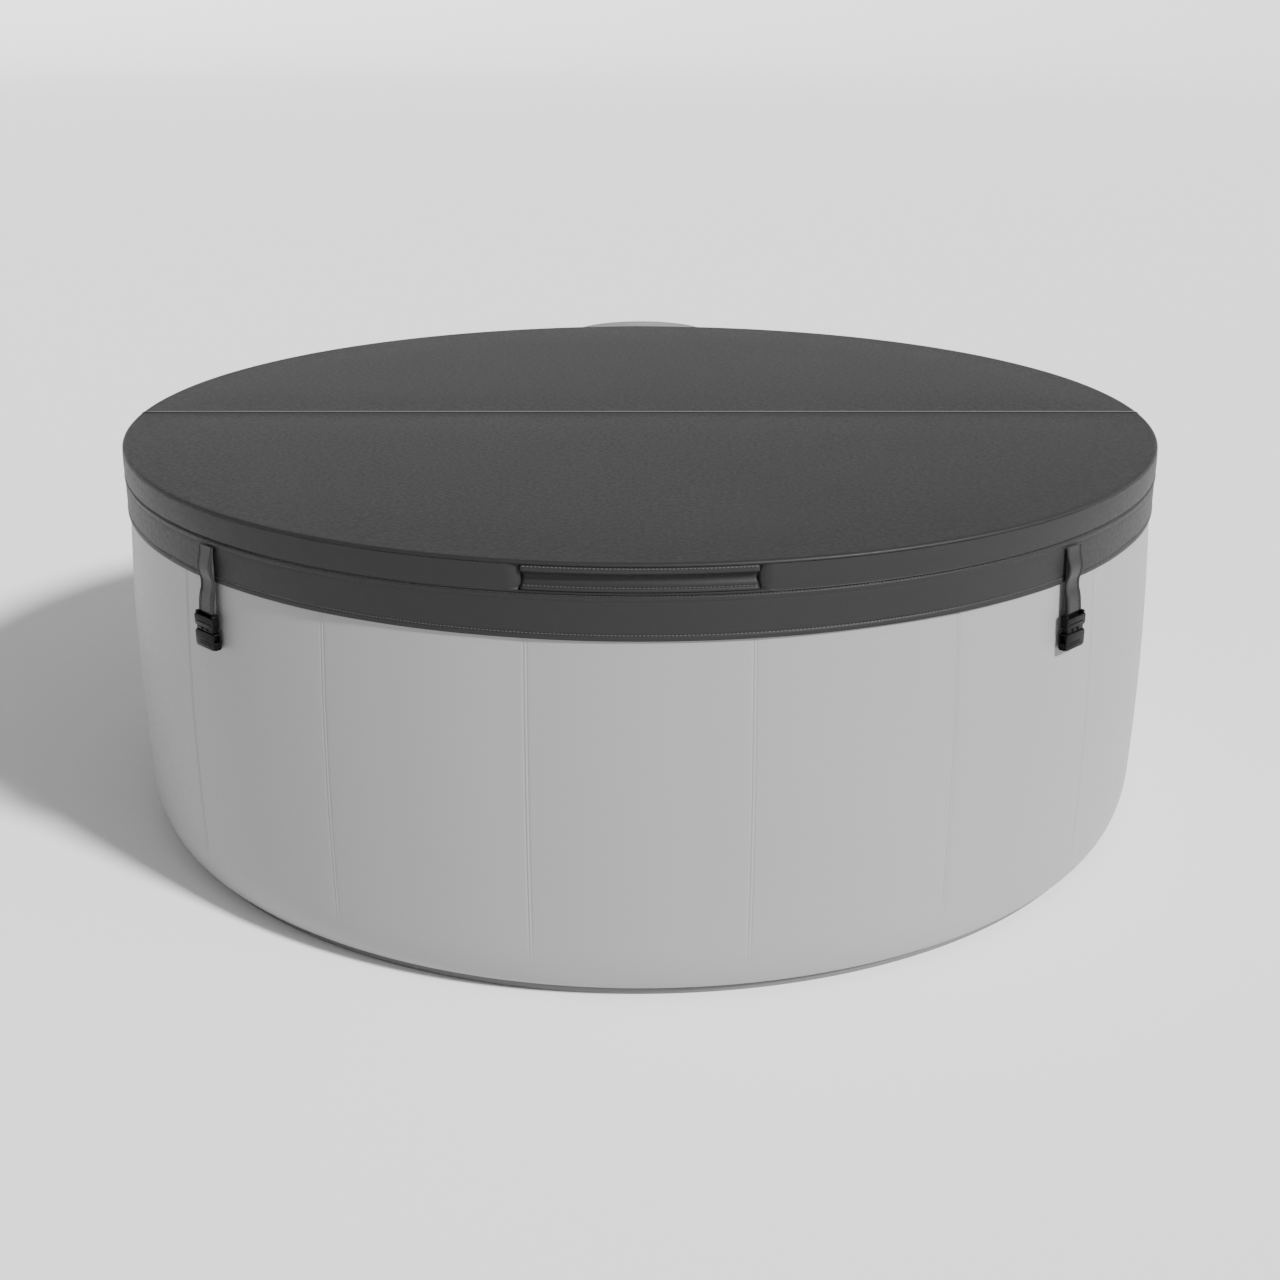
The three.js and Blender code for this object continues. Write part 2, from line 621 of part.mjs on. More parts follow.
function unitHousing() {
  const low = UNIT_BASE_HEIGHT + GAP;
  const inner = [
    point(UNIT_TOP_R - HOUSING_WALL, UNIT_LID_SEAM),
    point(UNIT_FOOT_R - HOUSING_WALL, low),
  ];
  const outer = [point(UNIT_FOOT_R, low), point(UNIT_TOP_R, UNIT_LID_SEAM)];
  const shell = turned([...outer, ...inner], UNIT_SIDES, UNIT_TURN);
  let housing = solidOf(shell.translate(0, UNIT_Y, 0));
  const spigots = [
    [-PORT_X, PORT_Z, PORT_R, PORT_BORE, SPIGOT_END_Y],
    [PORT_X, PORT_Z, PORT_R, PORT_BORE, SPIGOT_END_Y],
    [0, AIR_Z, AIR_R, AIR_BORE, AIR_SPIGOT_END_Y],
  ];
  for (const [x, z, r, bore, end] of spigots) {
    housing = housing.add(solidOf(rodAlongY(r, SPIGOT_START_Y, end, x, z)));
    housing = housing.subtract(solidOf(rodAlongY(bore, SPIGOT_START_Y - 5, end + 5, x, z)));
  }
  const gland = rodAlongY(GLAND_R + GAP, UNIT_Y + 150, UNIT_Y + 220, 0, GLAND_Z);
  return housing.subtract(solidOf(gland));
}

function unitTop() {
  const edge = 14;
  const low = UNIT_LID_SEAM + GAP;
  const round = ellipseArc(UNIT_TOP_R - edge, UNIT_TOP - edge, edge, edge, 0, 90, 3);
  const profile = [
    point(UNIT_TOP_R - 4, low), point(UNIT_TOP_R, low), ...round, point(0, UNIT_TOP),
    point(0, PANEL_FLOOR - 4), point(UNIT_TOP_R - edge, PANEL_FLOOR - 4),
    point(UNIT_TOP_R - 4, PANEL_FLOOR - edge),
  ];
  const ordered = [...profile.slice(6), ...profile.slice(0, 6)];
  const top = solidOf(turned(ordered, UNIT_SIDES, UNIT_TURN).translate(0, UNIT_Y, 0));
  const clear = GAP;
  const recess = boxSolid(
    -PANEL_HALF_X - clear, PANEL_HALF_X + clear,
    PANEL_Y - PANEL_HALF_Y - clear, PANEL_Y + PANEL_HALF_Y + clear,
    PANEL_FLOOR, UNIT_TOP + 1,
  );
  return top.subtract(recess);
}

function buttonPlaces() {
  const middle = (BUTTON_NAMES.length - 1) / 2;
  return BUTTON_NAMES.map((_, i) => (i - middle) * BUTTON_SPACING);
}

function controlPanel() {
  const edges = [-PANEL_HALF_X, PANEL_HALF_X, PANEL_Y - PANEL_HALF_Y, PANEL_Y + PANEL_HALF_Y];
  let panel = boxSolid(...edges, PANEL_FLOOR + GAP, UNIT_TOP);
  for (const x of buttonPlaces()) {
    panel = panel.subtract(solidOf(rodAlongZ(BUTTON_R + GAP, 600, 800, x, BUTTON_Y, 20)));
  }
  return panel;
}

// The volute: a round case open at its eye, towards the inlet spigot, and at its top.
function pumpHousing() {
  const wall = 4;
  const profile = [
    [17, PLUMBING_Y], [21, PLUMBING_Y], [21, PUMP_Y0], [PUMP_R, PUMP_Y0],
    [PUMP_R, PUMP_Y1], [12, PUMP_Y1], [12, PUMP_Y1 - wall], [PUMP_R - wall, PUMP_Y1 - wall],
    [PUMP_R - wall, PUMP_Y0 + wall], [17, PUMP_Y0 + wall],
  ].map(([r, y]) => point(r, y));
  const volute = solidOf(turnedAlongY(profile, 24, -PORT_X, PORT_Z));
  const middle = (PUMP_Y0 + PUMP_Y1) / 2;
  const neck = solidOf(rodAlongZ(18, PORT_Z + 30, PORT_Z + 62, -PORT_X, middle, 16));
  const bore = solidOf(rodAlongZ(14, PORT_Z + 30, PORT_Z + 70, -PORT_X, middle, 16));
  const hollow = rodAlongY(PUMP_R - wall, PUMP_Y0 + wall, PUMP_Y1 - wall, -PORT_X, PORT_Z, 24);
  return volute.add(neck).subtract(solidOf(hollow)).subtract(bore);
}

// A wheel on the Y axis: a disc with a hub and straight blades standing on it.
function impeller(r, hubR, blades, bladeHeight) {
  const discHeight = 3;
  const height = discHeight + bladeHeight;
  const disc = new THREE.CylinderGeometry(r, r, discHeight, 24);
  const hub = new THREE.CylinderGeometry(hubR, hubR, height, 12);
  let wheel = solidOf(disc.translate(0, discHeight / 2, 0));
  wheel = wheel.add(solidOf(hub.translate(0, height / 2, 0)));
  for (let i = 0; i < blades; i++) {
    const blade = box(hubR - 2, r - 1, 1, height, -1.2, 1.2);
    wheel = wheel.add(solidOf(blade.rotateY((2 * Math.PI * i) / blades)));
  }
  return geometryOf(wheel);
}

// The heater: a stainless tube from the pump's neck, over and down to the outlet spigot.
function heaterTube() {
  const y = (PUMP_Y0 + PUMP_Y1) / 2;
  const at = (x, yy, z) => new THREE.Vector3(x, yy, z);
  const high = 330;
  const bend = 45;
  const route = new THREE.CurvePath();
  const corners = [
    [at(-PORT_X, y, high - bend), at(-PORT_X, y, high), at(-PORT_X + bend, y, high)],
    [at(PORT_X - bend, y, high), at(PORT_X, y, high), at(PORT_X, y, high - bend)],
    [at(PORT_X, y, PORT_Z + 30), at(PORT_X, y, PORT_Z), at(PORT_X, y - 30, PORT_Z)],
  ];
  let last = at(-PORT_X, y, PORT_Z + 62 + GAP);
  for (const corner of corners) {
    route.add(new THREE.LineCurve3(last, corner[0]));
    route.add(new THREE.QuadraticBezierCurve3(...corner));
    last = corner[2];
  }
  route.add(new THREE.LineCurve3(last, at(PORT_X, PLUMBING_Y, PORT_Z)));
  const section = new THREE.Shape().absarc(0, 0, 16, 0, 2 * Math.PI);
  section.holes.push(new THREE.Path().absarc(0, 0, 13, 0, 2 * Math.PI, true));
  const options = { extrudePath: route, steps: 24, curveSegments: 4, bevelEnabled: false };
  return facingOut(new THREE.ExtrudeGeometry(section, options));
}

// The blower's case, open at the eye on top and at the duct to the air spigot.
function blowerHousing() {
  const wall = 4;
  const profile = [
    [0, BLOWER_LOW], [BLOWER_R, BLOWER_LOW], [BLOWER_R, BLOWER_HIGH], [45, BLOWER_HIGH],
    [45, BLOWER_HIGH - wall], [BLOWER_R - wall, BLOWER_HIGH - wall],
    [BLOWER_R - wall, BLOWER_LOW + wall],
    [0, BLOWER_LOW + wall],
  ].map(([r, z]) => point(r, z));
  const blowerCase = solidOf(turned(profile, 24, 0).translate(0, UNIT_Y, 0));
  const duct = solidOf(rodAlongY(AIR_R + 3, PLUMBING_Y, UNIT_Y - BLOWER_R + 8, 0, AIR_Z));
  const bore = solidOf(rodAlongY(AIR_BORE, PLUMBING_Y - 5, UNIT_Y - BLOWER_R + 12, 0, AIR_Z));
  return blowerCase.add(duct).subtract(bore);
}

function cableGland() {
  const face = UNIT_Y + UNIT_FOOT_R + 0.5;
  const profile = [
    [4, face - 14], [GLAND_R, face - 14], [GLAND_R, face], [14, face],
    [14, face + 6], [9, face + 14], [4, face + 14],
  ].map(([r, y]) => point(r, y));
  return turnedAlongY(profile, 16, 0, GLAND_Z);
}

function addUnit() {
  const baseProfile = [
    [0, 0], [UNIT_FOOT_R - 6, 0], [UNIT_FOOT_R, 6], [UNIT_FOOT_R, UNIT_BASE_HEIGHT],
    [UNIT_FOOT_R - 6, UNIT_BASE_HEIGHT], [UNIT_FOOT_R - 6, 10], [0, 10],
  ].map(([r, z]) => point(r, z));
  const base = turned(baseProfile, UNIT_SIDES, UNIT_TURN);
  add("unit_base", base.translate(0, UNIT_Y, 0), "darkShell");
  add("unit_housing", geometryOf(unitHousing()), "paleShell");
  add("unit_top", geometryOf(unitTop()), "paleShell");
  add("control_panel", geometryOf(controlPanel()), "darkShell");
  buttonPlaces().forEach((x, i) => {
    const low = UNIT_TOP + 1.5 - BUTTON_HEIGHT;
    add(BUTTON_NAMES[i], rodAlongZ(BUTTON_R, low, low + BUTTON_HEIGHT, x, BUTTON_Y, 20), "button");
  });
  add("cable_gland", cableGland(), "darkShell");
}

function addMachinery() {
  add("pump_housing", geometryOf(pumpHousing()), "darkShell");
  const motor = rodAlongY(MOTOR_R, PUMP_Y1 + GAP, PUMP_Y1 + MOTOR_LENGTH, -PORT_X, PORT_Z, 24);
  add("pump_motor", motor, "metal");
  const pumpWheel = impeller(38, 8, 6, 20).translate(-PORT_X, PUMP_Y0 + 10, PORT_Z);
  add("pump_impeller", pumpWheel, "fitting");
  add("heater_tube", heaterTube(), "metal");
  add("blower_housing", geometryOf(blowerHousing()), "darkShell");
  const fan = impeller(84, 16, 8, 36).rotateX(Math.PI / 2).translate(0, UNIT_Y, BLOWER_LOW + 8);
  add("blower_fan", fan, "fitting");
}

addTubSkins();
addWallFittings();
addFilter();
addValves();
addCover();
addStraps();
addUnit();
addMachinery();

export default hotTub;
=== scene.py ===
import math

import bmesh
import bpy
from mathutils import Matrix, Vector, noise


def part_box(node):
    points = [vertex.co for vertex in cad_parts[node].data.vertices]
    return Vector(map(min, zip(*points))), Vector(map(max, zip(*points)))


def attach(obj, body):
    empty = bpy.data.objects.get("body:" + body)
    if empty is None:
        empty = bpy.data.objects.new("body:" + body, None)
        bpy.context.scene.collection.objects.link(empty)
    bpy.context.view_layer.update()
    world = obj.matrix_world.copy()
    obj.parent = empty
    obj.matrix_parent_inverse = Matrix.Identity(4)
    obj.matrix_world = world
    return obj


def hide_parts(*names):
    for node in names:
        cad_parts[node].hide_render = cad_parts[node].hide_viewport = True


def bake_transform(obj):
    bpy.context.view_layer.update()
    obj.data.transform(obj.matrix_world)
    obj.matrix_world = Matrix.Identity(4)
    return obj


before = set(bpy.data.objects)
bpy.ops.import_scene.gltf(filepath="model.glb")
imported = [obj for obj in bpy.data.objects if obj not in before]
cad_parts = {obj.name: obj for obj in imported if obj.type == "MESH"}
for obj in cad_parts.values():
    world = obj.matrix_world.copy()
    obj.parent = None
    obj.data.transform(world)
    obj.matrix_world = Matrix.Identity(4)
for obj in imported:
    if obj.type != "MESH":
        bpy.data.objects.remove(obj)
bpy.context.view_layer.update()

# The looks of a round inflatable hot tub: its panelled air wall, folding cover, straps and pump unit.
# Metres, +Z up. Bearings are in degrees from the front (-Y) towards +X.

MM = 0.001

# ---- places read from the frame -----------------------------------------------------------

COVER_LOW, COVER_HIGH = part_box("rear_jacket")
COVER_R = COVER_HIGH.y
COVER_TOP = COVER_HIGH.z
SEAM_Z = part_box("rear_skirt")[1].z
SKIRT_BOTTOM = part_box("rear_skirt")[0].z
FOLD_GAP = COVER_LOW.y
GRIP_LOW, GRIP_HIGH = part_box("grip_channel")
GRIP_HALF = math.degrees(math.asin(GRIP_HIGH.x / COVER_R))
WALL_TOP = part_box("top_rim")[1].z
FOOT_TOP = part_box("base_ring")[1].z
FOOT_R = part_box("base_ring")[1].x
FLOOR_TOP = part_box("tub_floor")[1].z
RIM_OUT_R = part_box("top_rim")[1].x
INNER_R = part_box("tub_floor")[1].x + 0.5 * MM
UNIT_LOW, UNIT_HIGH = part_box("unit_top")
UNIT_Y = (UNIT_LOW.y + UNIT_HIGH.y) / 2
UNIT_TOP_R = (UNIT_HIGH.y - UNIT_LOW.y) / 2
UNIT_FOOT_R = (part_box("unit_base")[1].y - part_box("unit_base")[0].y) / 2

PANELS = 18
PANEL = 360 / PANELS
STRAPS = {"front_left": -44.8, "front_right": 44.8, "rear_right": 140, "rear_left": -140}

# ---- camera, floor and light --------------------------------------------------------------

CAMERA_PLACE = (0, -3.4689, 1.5415)
CAMERA_DIP = 20.165
CAMERA_LENS = 48.555
FILL_BEARING = 70
FILL_DIM = 0.2
FILL_BRIGHT = 0.6
KEY_STRENGTH = 7.0
KEY_BEARING = 50
KEY_ELEVATION = math.radians(37)
KEY_SPREAD = math.radians(7)


def make_camera():
    data = bpy.data.cameras.new("camera")
    data.sensor_width = 36
    data.lens = CAMERA_LENS
    camera = bpy.data.objects.new("camera", data)
    camera.location = CAMERA_PLACE
    camera.rotation_euler = (math.radians(90 - CAMERA_DIP), 0, 0)
    bpy.context.scene.collection.objects.link(camera)
    bpy.context.scene.camera = camera


def make_floor():
    """A pale floor that curves up into a round backdrop far outside the view."""
    paint = bpy.data.materials.new("studio_floor")
    paint.use_nodes = True
    shader = paint.node_tree.nodes["Principled BSDF"]
    shader.inputs["Base Color"].default_value = (0.97, 0.97, 0.97, 1)
    shader.inputs["Roughness"].default_value = 1
    shader.inputs["Specular IOR Level"].default_value = 0
    flat, rise, sides, steps = 40.0, 14.0, 96, 16
    line = [(2.0, 0.0), (10.0, 0.0)] + [
        (flat + rise * math.sin(t), rise * (1 - math.cos(t)))
        for t in (math.radians(72) * k / steps for k in range(steps + 1))
    ]
    rows = [[(r * math.cos(t), r * math.sin(t), z) for t in (2 * math.pi * j / sides for j in range(sides))]
            for r, z in line]
    faces = [tuple(reversed(range(sides))), *grid_faces(len(rows), sides, wrap_columns=True)]
    mesh = bpy.data.meshes.new("studio_floor")
    mesh.from_pydata([v for row in rows for v in row], [], faces)
    mesh.polygons.foreach_set("use_smooth", [True] * len(mesh.polygons))
    mesh.materials.append(paint)
    floor = bpy.data.objects.new("studio_floor", mesh)
    bpy.context.scene.collection.objects.link(floor)


def make_lights():
    """An even white studio, and a soft key from the front right."""
    world = bpy.data.worlds.new("studio")
    world.use_nodes = True
    nodes, links = world.node_tree.nodes, world.node_tree.links
    facing = nodes.new("ShaderNodeVectorMath")
    facing.operation = "DOT_PRODUCT"
    facing.inputs[1].default_value = spot(1, FILL_BEARING, 0)
    blend = nodes.new("ShaderNodeMapRange")
    blend.inputs["From Min"].default_value = -1
    blend.inputs["To Min"].default_value = FILL_DIM
    blend.inputs["To Max"].default_value = FILL_BRIGHT
    links.new(nodes.new("ShaderNodeTexCoord").outputs["Generated"], facing.inputs[0])
    links.new(facing.outputs["Value"], blend.inputs["Value"])
    links.new(blend.outputs["Result"], nodes["Background"].inputs["Strength"])
    nodes["Background"].inputs["Color"].default_value = (1, 1, 1, 1)
    bpy.context.scene.world = world
    data = bpy.data.lights.new("key", "SUN")
    data.energy = KEY_STRENGTH
    data.angle = KEY_SPREAD
    key = bpy.data.objects.new("key", data)
    towards = spot(math.cos(KEY_ELEVATION), KEY_BEARING, math.sin(KEY_ELEVATION))
    key.rotation_euler = towards.to_track_quat("Z", "Y").to_euler()
    bpy.context.scene.collection.objects.link(key)


# ---- mesh helpers -------------------------------------------------------------------------


def spot(r, bearing, z):
    a = math.radians(bearing)
    return Vector((r * math.sin(a), -r * math.cos(a), z))


def piece(name, verts, faces, paint, body, replaces=(), slot=None):
    """A smooth-shaded object that rides on a body and may stand for nodes of the frame."""
    mesh = bpy.data.meshes.new(name)
    mesh.from_pydata([tuple(v) for v in verts], [], faces)
    made = bmesh.new()
    made.from_mesh(mesh)
    bmesh.ops.remove_doubles(made, verts=made.verts, dist=1e-6)
    bmesh.ops.recalc_face_normals(made, faces=made.faces)
    made.to_mesh(mesh)
    made.free()
    mesh.materials.append(paint)
    mesh.polygons.foreach_set("use_smooth", [True] * len(mesh.polygons))
    thing = bpy.data.objects.new(name, mesh)
    bpy.context.scene.collection.objects.link(thing)
    if replaces:
        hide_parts(*replaces)
    if body:
        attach(thing, body)
    return thing


def grid_faces(rows, columns, wrap_rows=False, wrap_columns=False):
    faces = []
    for i in range(rows if wrap_rows else rows - 1):
        for j in range(columns if wrap_columns else columns - 1):
            k, m = (i + 1) % rows, (j + 1) % columns
            faces.append((i * columns + j, i * columns + m, k * columns + m, k * columns + j))
    return faces


def solid(rings, closed_turn=False):
    """Verts and faces of closed rings of points, joined in a loop or capped at both ends."""
    columns = len(rings[0])
    faces = grid_faces(len(rings), columns, wrap_rows=closed_turn, wrap_columns=True)
    if not closed_turn:
        last = (len(rings) - 1) * columns
        faces += [tuple(range(columns)), tuple(last + j for j in reversed(range(columns)))]
    return [v for ring in rings for v in ring], faces


def turned(profile_at, bearings, closed_turn=True):
    """A closed (r, z) outline carried round the bearings."""
    return solid([[spot(r, b, z) for r, z in profile_at(b)] for b in bearings], closed_turn)


def skin(line, thickness):
    """A closed outline of even thickness on the inner side of a line of (r, z) points."""
    inside = []
    for i, (r, z) in enumerate(line):
        before, after = line[max(i - 1, 0)], line[min(i + 1, len(line) - 1)]
        dr, dz = after[0] - before[0], after[1] - before[1]
        size = math.hypot(dr, dz) or 1
        inside.append((r - dz / size * thickness, z + dr / size * thickness))
    return list(line) + inside[::-1]


def arc(centre_r, centre_z, across, up, start, end, steps):
    points = []
    for i in range(steps + 1):
        t = math.radians(start + (end - start) * i / steps)
        points.append((centre_r + across * math.cos(t), centre_z + up * math.sin(t)))
    return points


def smooth_line(points, steps):
    """Catmull-Rom points through a list of tuples."""
    padded = [points[0], *points, points[-1]]
    line = []
    for i in range(1, len(padded) - 2):
        p0, p1, p2, p3 = padded[i - 1 : i + 3]
        for k in range(steps):
            t = k / steps
            line.append(tuple(
                0.5 * (2 * b + (c - a) * t + (2 * a - 5 * b + 4 * c - d) * t * t
                       + (3 * b - a - 3 * c + d) * t ** 3)
                for a, b, c, d in zip(p0, p1, p2, p3)
            ))
    line.append(tuple(points[-1]))
    return line


def ramp(x, low, high):
    t = min(1.0, max(0.0, (x - low) / (high - low)))
    return t * t * (3 - 2 * t)


def stitch_mesh(places, length, thick):
    """Small spindles: places are (centre, along, out) with unit vectors."""
    verts, faces = [], []
    for centre, along, out in places:
        side = along.cross(out).normalized()
        base = len(verts)
        half = length / 2
        verts.append(centre - along * half - out * thick * 0.3)
        for share in (-0.32, 0.32):
            for across, lift in ((1, 0), (0, 1), (-1, 0), (0, -1)):
                around = side * across * thick + out * lift * thick * 0.7
                verts.append(centre + along * length * share + around)
        verts.append(centre + along * half - out * thick * 0.3)
        for j in range(4):
            k = (j + 1) % 4
            faces.append((base, base + 1 + k, base + 1 + j))
            faces.append((base + 1 + j, base + 1 + k, base + 5 + k, base + 5 + j))
            faces.append((base + 9, base + 5 + j, base + 5 + k))
    return verts, faces


def stitches_round(r, z, start, end, pitch=6.2 * MM, length=4.2 * MM, thick=0.55 * MM):
    count = int(math.radians(end - start) * r / pitch)
    places = []
    for i in range(count):
        b = start + (end - start) * (i + 0.5) / count
        a = math.radians(b)
        places.append((spot(r, b, z), Vector((math.cos(a), math.sin(a), 0)), spot(1, b, 0)))
    return stitch_mesh(places, length, thick)


def joined(*parts):
    verts, faces = [], []
    for more_verts, more_faces in parts:
        base = len(verts)
        verts += list(more_verts)
        faces += [tuple(base + i for i in face) for face in more_faces]
    return verts, faces


# ---- materials ----------------------------------------------------------------------------


class Paint:
    """A small builder for a Principled material from nodes."""

    def __init__(self, name, roughness=0.5, specular=0.5, sheen=0.0, metallic=0.0):
        self.material = bpy.data.materials.new(name)
        self.material.use_nodes = True
        self.nodes = self.material.node_tree.nodes
        self.links = self.material.node_tree.links
        self.shader = self.nodes["Principled BSDF"]
        self.shader.inputs["Roughness"].default_value = roughness
        self.shader.inputs["Specular IOR Level"].default_value = specular
        self.shader.inputs["Sheen Weight"].default_value = sheen
        self.shader.inputs["Metallic"].default_value = metallic
        self.place = self.nodes.new("ShaderNodeTexCoord").outputs["Object"]
        self.height = None

    def node(self, kind, **settings):
        made = self.nodes.new("ShaderNode" + kind)
        for key, value in settings.items():
            setattr(made, key, value)
        return made

    def noise(self, scale, detail=3, rough=0.5, stretch=(1, 1, 1)):
        mapping = self.node("Mapping")
        mapping.inputs["Scale"].default_value = stretch
        self.links.new(self.place, mapping.inputs["Vector"])
        made = self.node("TexNoise")
        made.inputs["Scale"].default_value = scale
        made.inputs["Detail"].default_value = detail
        made.inputs["Roughness"].default_value = rough
        self.links.new(mapping.outputs["Vector"], made.inputs["Vector"])
        return made.outputs["Fac"]

    def cells(self, scale):
        made = self.node("TexVoronoi")
        made.inputs["Scale"].default_value = scale
        self.links.new(self.place, made.inputs["Vector"])
        return made.outputs["Distance"]

    def weave(self, scale, axis):
        made = self.node("TexWave", wave_type="BANDS", bands_direction=axis)
        made.inputs["Scale"].default_value = scale
        self.links.new(self.place, made.inputs["Vector"])
        return made.outputs["Fac"]

    def math(self, operation, a, b):
        made = self.node("Math", operation=operation)
        for socket, value in zip(made.inputs, (a, b)):
            if isinstance(value, (int, float)):
                socket.default_value = value
            else:
                self.links.new(value, socket)
        return made.outputs[0]

    def mapped(self, value, low, high, from_low=0.3, from_high=0.7):
        made = self.node("MapRange")
        made.inputs["From Min"].default_value = from_low
        made.inputs["From Max"].default_value = from_high
        made.inputs["To Min"].default_value = low
        made.inputs["To Max"].default_value = high
        self.links.new(value, made.inputs["Value"])
        return made.outputs["Result"]

    def colour(self, factor, dark, light):
        made = self.node("Mix", data_type="RGBA")
        self.links.new(factor, made.inputs["Factor"])
        made.inputs["A"].default_value = (*dark, 1)
        made.inputs["B"].default_value = (*light, 1)
        self.links.new(made.outputs["Result"], self.shader.inputs["Base Color"])

    def rough(self, value):
        self.links.new(value, self.shader.inputs["Roughness"])

    def bump(self, height, distance):
        made = self.node("Bump")
        made.inputs["Distance"].default_value = distance
        made.inputs["Strength"].default_value = 1
        self.links.new(height, made.inputs["Height"])
        if self.height:
            self.links.new(self.height, made.inputs["Normal"])
        self.height = made.outputs["Normal"]
        self.links.new(self.height, self.shader.inputs["Normal"])


def shade(value):
    return (value, value, value)


def vinyl_paint(name, base, spread, grain=900, roughness=0.5, bump=0.08 * MM, specular=0.4):
    """Embossed vinyl: cell grain, a broad cloudy tone and slightly uneven gloss."""
    paint = Paint(name, specular=specular)
    clouds = paint.noise(2.2, 2)
    fine = paint.noise(140, 3)
    mixed = paint.math("ADD", paint.math("MULTIPLY", clouds, 0.7), paint.math("MULTIPLY", fine, 0.3))
    tone = paint.mapped(mixed, 0, 1, 0.35, 0.65)
    paint.colour(tone, shade(base * (1 - spread)), shade(base * (1 + spread)))
    paint.rough(paint.mapped(fine, roughness - 0.05, roughness + 0.06))
    paint.bump(paint.cells(grain), bump)
    return paint.material


def plastic_paint(name, base, roughness=0.42, grain=700, spread=0.06, specular=0.5):
    """Moulded plastic with a fine spark-eroded texture."""
    paint = Paint(name, specular=specular)
    fine = paint.noise(grain, 3)
    broad = paint.noise(9, 2)
    colour = [tuple(c * (1 + k * spread) for c in base) for k in (-1, 1)]
    paint.colour(paint.mapped(broad, 0, 1), *colour)
    paint.rough(paint.mapped(broad, roughness - 0.05, roughness + 0.07))
    paint.bump(fine, 0.05 * MM)
    return paint.material


def webbing_paint(name, base):
    """Woven polypropylene webbing."""
    paint = Paint(name, specular=0.3, sheen=0.2)
    rows = paint.math("MULTIPLY", paint.weave(700, "Z"), paint.weave(500, "DIAGONAL"))
    paint.colour(paint.mapped(rows, 0, 1, 0, 1), shade(base * 0.6), shade(base * 1.3))
    paint.rough(paint.mapped(rows, 0.75, 0.6, 0, 1))
    paint.bump(rows, 0.3 * MM)
    return paint.material


def metal_paint(name, base, roughness=0.3):
    """Drawn stainless steel, streaked along the tube."""
    paint = Paint(name, metallic=1.0)
    streaks = paint.noise(60, 4, 0.6, (1, 1, 12))
    paint.colour(paint.mapped(streaks, 0, 1), shade(base * 0.85), shade(base * 1.1))
    paint.rough(paint.mapped(streaks, roughness - 0.08, roughness + 0.1))
    paint.bump(streaks, 0.03 * MM)
    return paint.material


def paper_paint(name):
    """Pleated filter fleece."""
    paint = Paint(name, specular=0.1, sheen=0.3)
    fibres = paint.noise(420, 5, 0.7)
    paint.colour(paint.mapped(fibres, 0, 1), (0.66, 0.7, 0.74), (0.86, 0.88, 0.9))
    paint.rough(paint.mapped(fibres, 0.85, 0.95))
    paint.bump(fibres, 0.25 * MM)
    return paint.material


def thread_paint(name, base):
    """Twisted thread."""
    paint = Paint(name, specular=0.3, sheen=0.3)
    twist = paint.weave(2600, "DIAGONAL")
    paint.colour(paint.mapped(twist, 0, 1, 0, 1), shade(base * 0.7), shade(base * 1.2))
    paint.rough(paint.mapped(twist, 0.6, 0.75, 0, 1))
    paint.bump(twist, 0.1 * MM)
    return paint.material


PALE = vinyl_paint("pale_vinyl", 0.255, 0.015, grain=650, roughness=0.46, bump=0.05 * MM)
BAND = vinyl_paint("dark_band_vinyl", 0.13, 0.06, grain=500, roughness=0.55)
COVER = vinyl_paint("cover_vinyl", 0.019, 0.05, grain=420, roughness=0.5, bump=0.12 * MM, specular=0.18)
THREAD = thread_paint("cover_thread", 0.07)
# Painted highlight: a pale bead colour for the light caught along the rear panel's edge at the fold.
FOLD_HIGHLIGHT = vinyl_paint("fold_painted_highlight", 0.2, 0.05, grain=900, roughness=0.45)
STRAP = vinyl_paint("strap_vinyl", 0.018, 0.08, grain=700, roughness=0.4, bump=0.1 * MM, specular=0.26)
# The doubled webbing behind each strap is real, but its near-black colour is painted shade for the dark gap
# between strap and skirt; the wall tabs' patches use it too, painted dark as the shade under the sockets.
SHADED_WEBBING = webbing_paint("webbing_painted_shade", 0.005)
BUCKLE = plastic_paint("buckle_plastic", (0.004, 0.004, 0.004), 0.36, specular=0.08)
SHELL = plastic_paint("pale_shell", (0.16, 0.16, 0.16), 0.4)
DARK = plastic_paint("dark_shell", (0.045, 0.048, 0.05), 0.42)
FITTING = plastic_paint("grey_fitting", (0.15, 0.155, 0.16), 0.4)
BUTTON = plastic_paint("button_plastic", (0.65, 0.66, 0.67), 0.35)
METAL = metal_paint("bare_metal", 0.55)
PAPER = paper_paint("filter_paper")
GLASS = plastic_paint("display_glass", (0.01, 0.012, 0.014), 0.08, grain=60)
GLOW = plastic_paint("display_figures", (0.75, 0.8, 0.82), 0.5)

# ---- the air wall -------------------------------------------------------------------------

CORNER_ACROSS = 41 * MM
CORNER_TOP = FOOT_TOP + 102 * MM
LOW_R, MIDDLE_R, HEM_R = 1024 * MM, 1026 * MM, 1014 * MM
RIM_ROUND = 50 * MM
INNER_ROUND = 45 * MM
PILLOW = 1.6 * MM


def wall_radius(z):
    s = (SKIRT_BOTTOM - z) / (SKIRT_BOTTOM - CORNER_TOP)
    return HEM_R * (1 - s) * (1 - 2 * s) + MIDDLE_R * 4 * s * (1 - s) + LOW_R * s * (2 * s - 1)


def outer_line():
    corner_up = CORNER_TOP - FOOT_TOP - 0.5 * MM
    corner = arc(LOW_R - CORNER_ACROSS, CORNER_TOP, CORNER_ACROSS, corner_up, -90, 0, 14)
    count = 22
    heights = [CORNER_TOP + (SKIRT_BOTTOM - CORNER_TOP) * (i + 1) / count for i in range(count)]
    side = [(wall_radius(z), z) for z in heights]
    rim = arc(HEM_R - RIM_ROUND, WALL_TOP - RIM_ROUND, RIM_ROUND, RIM_ROUND, 0, 90, 10)
    return corner + side + rim


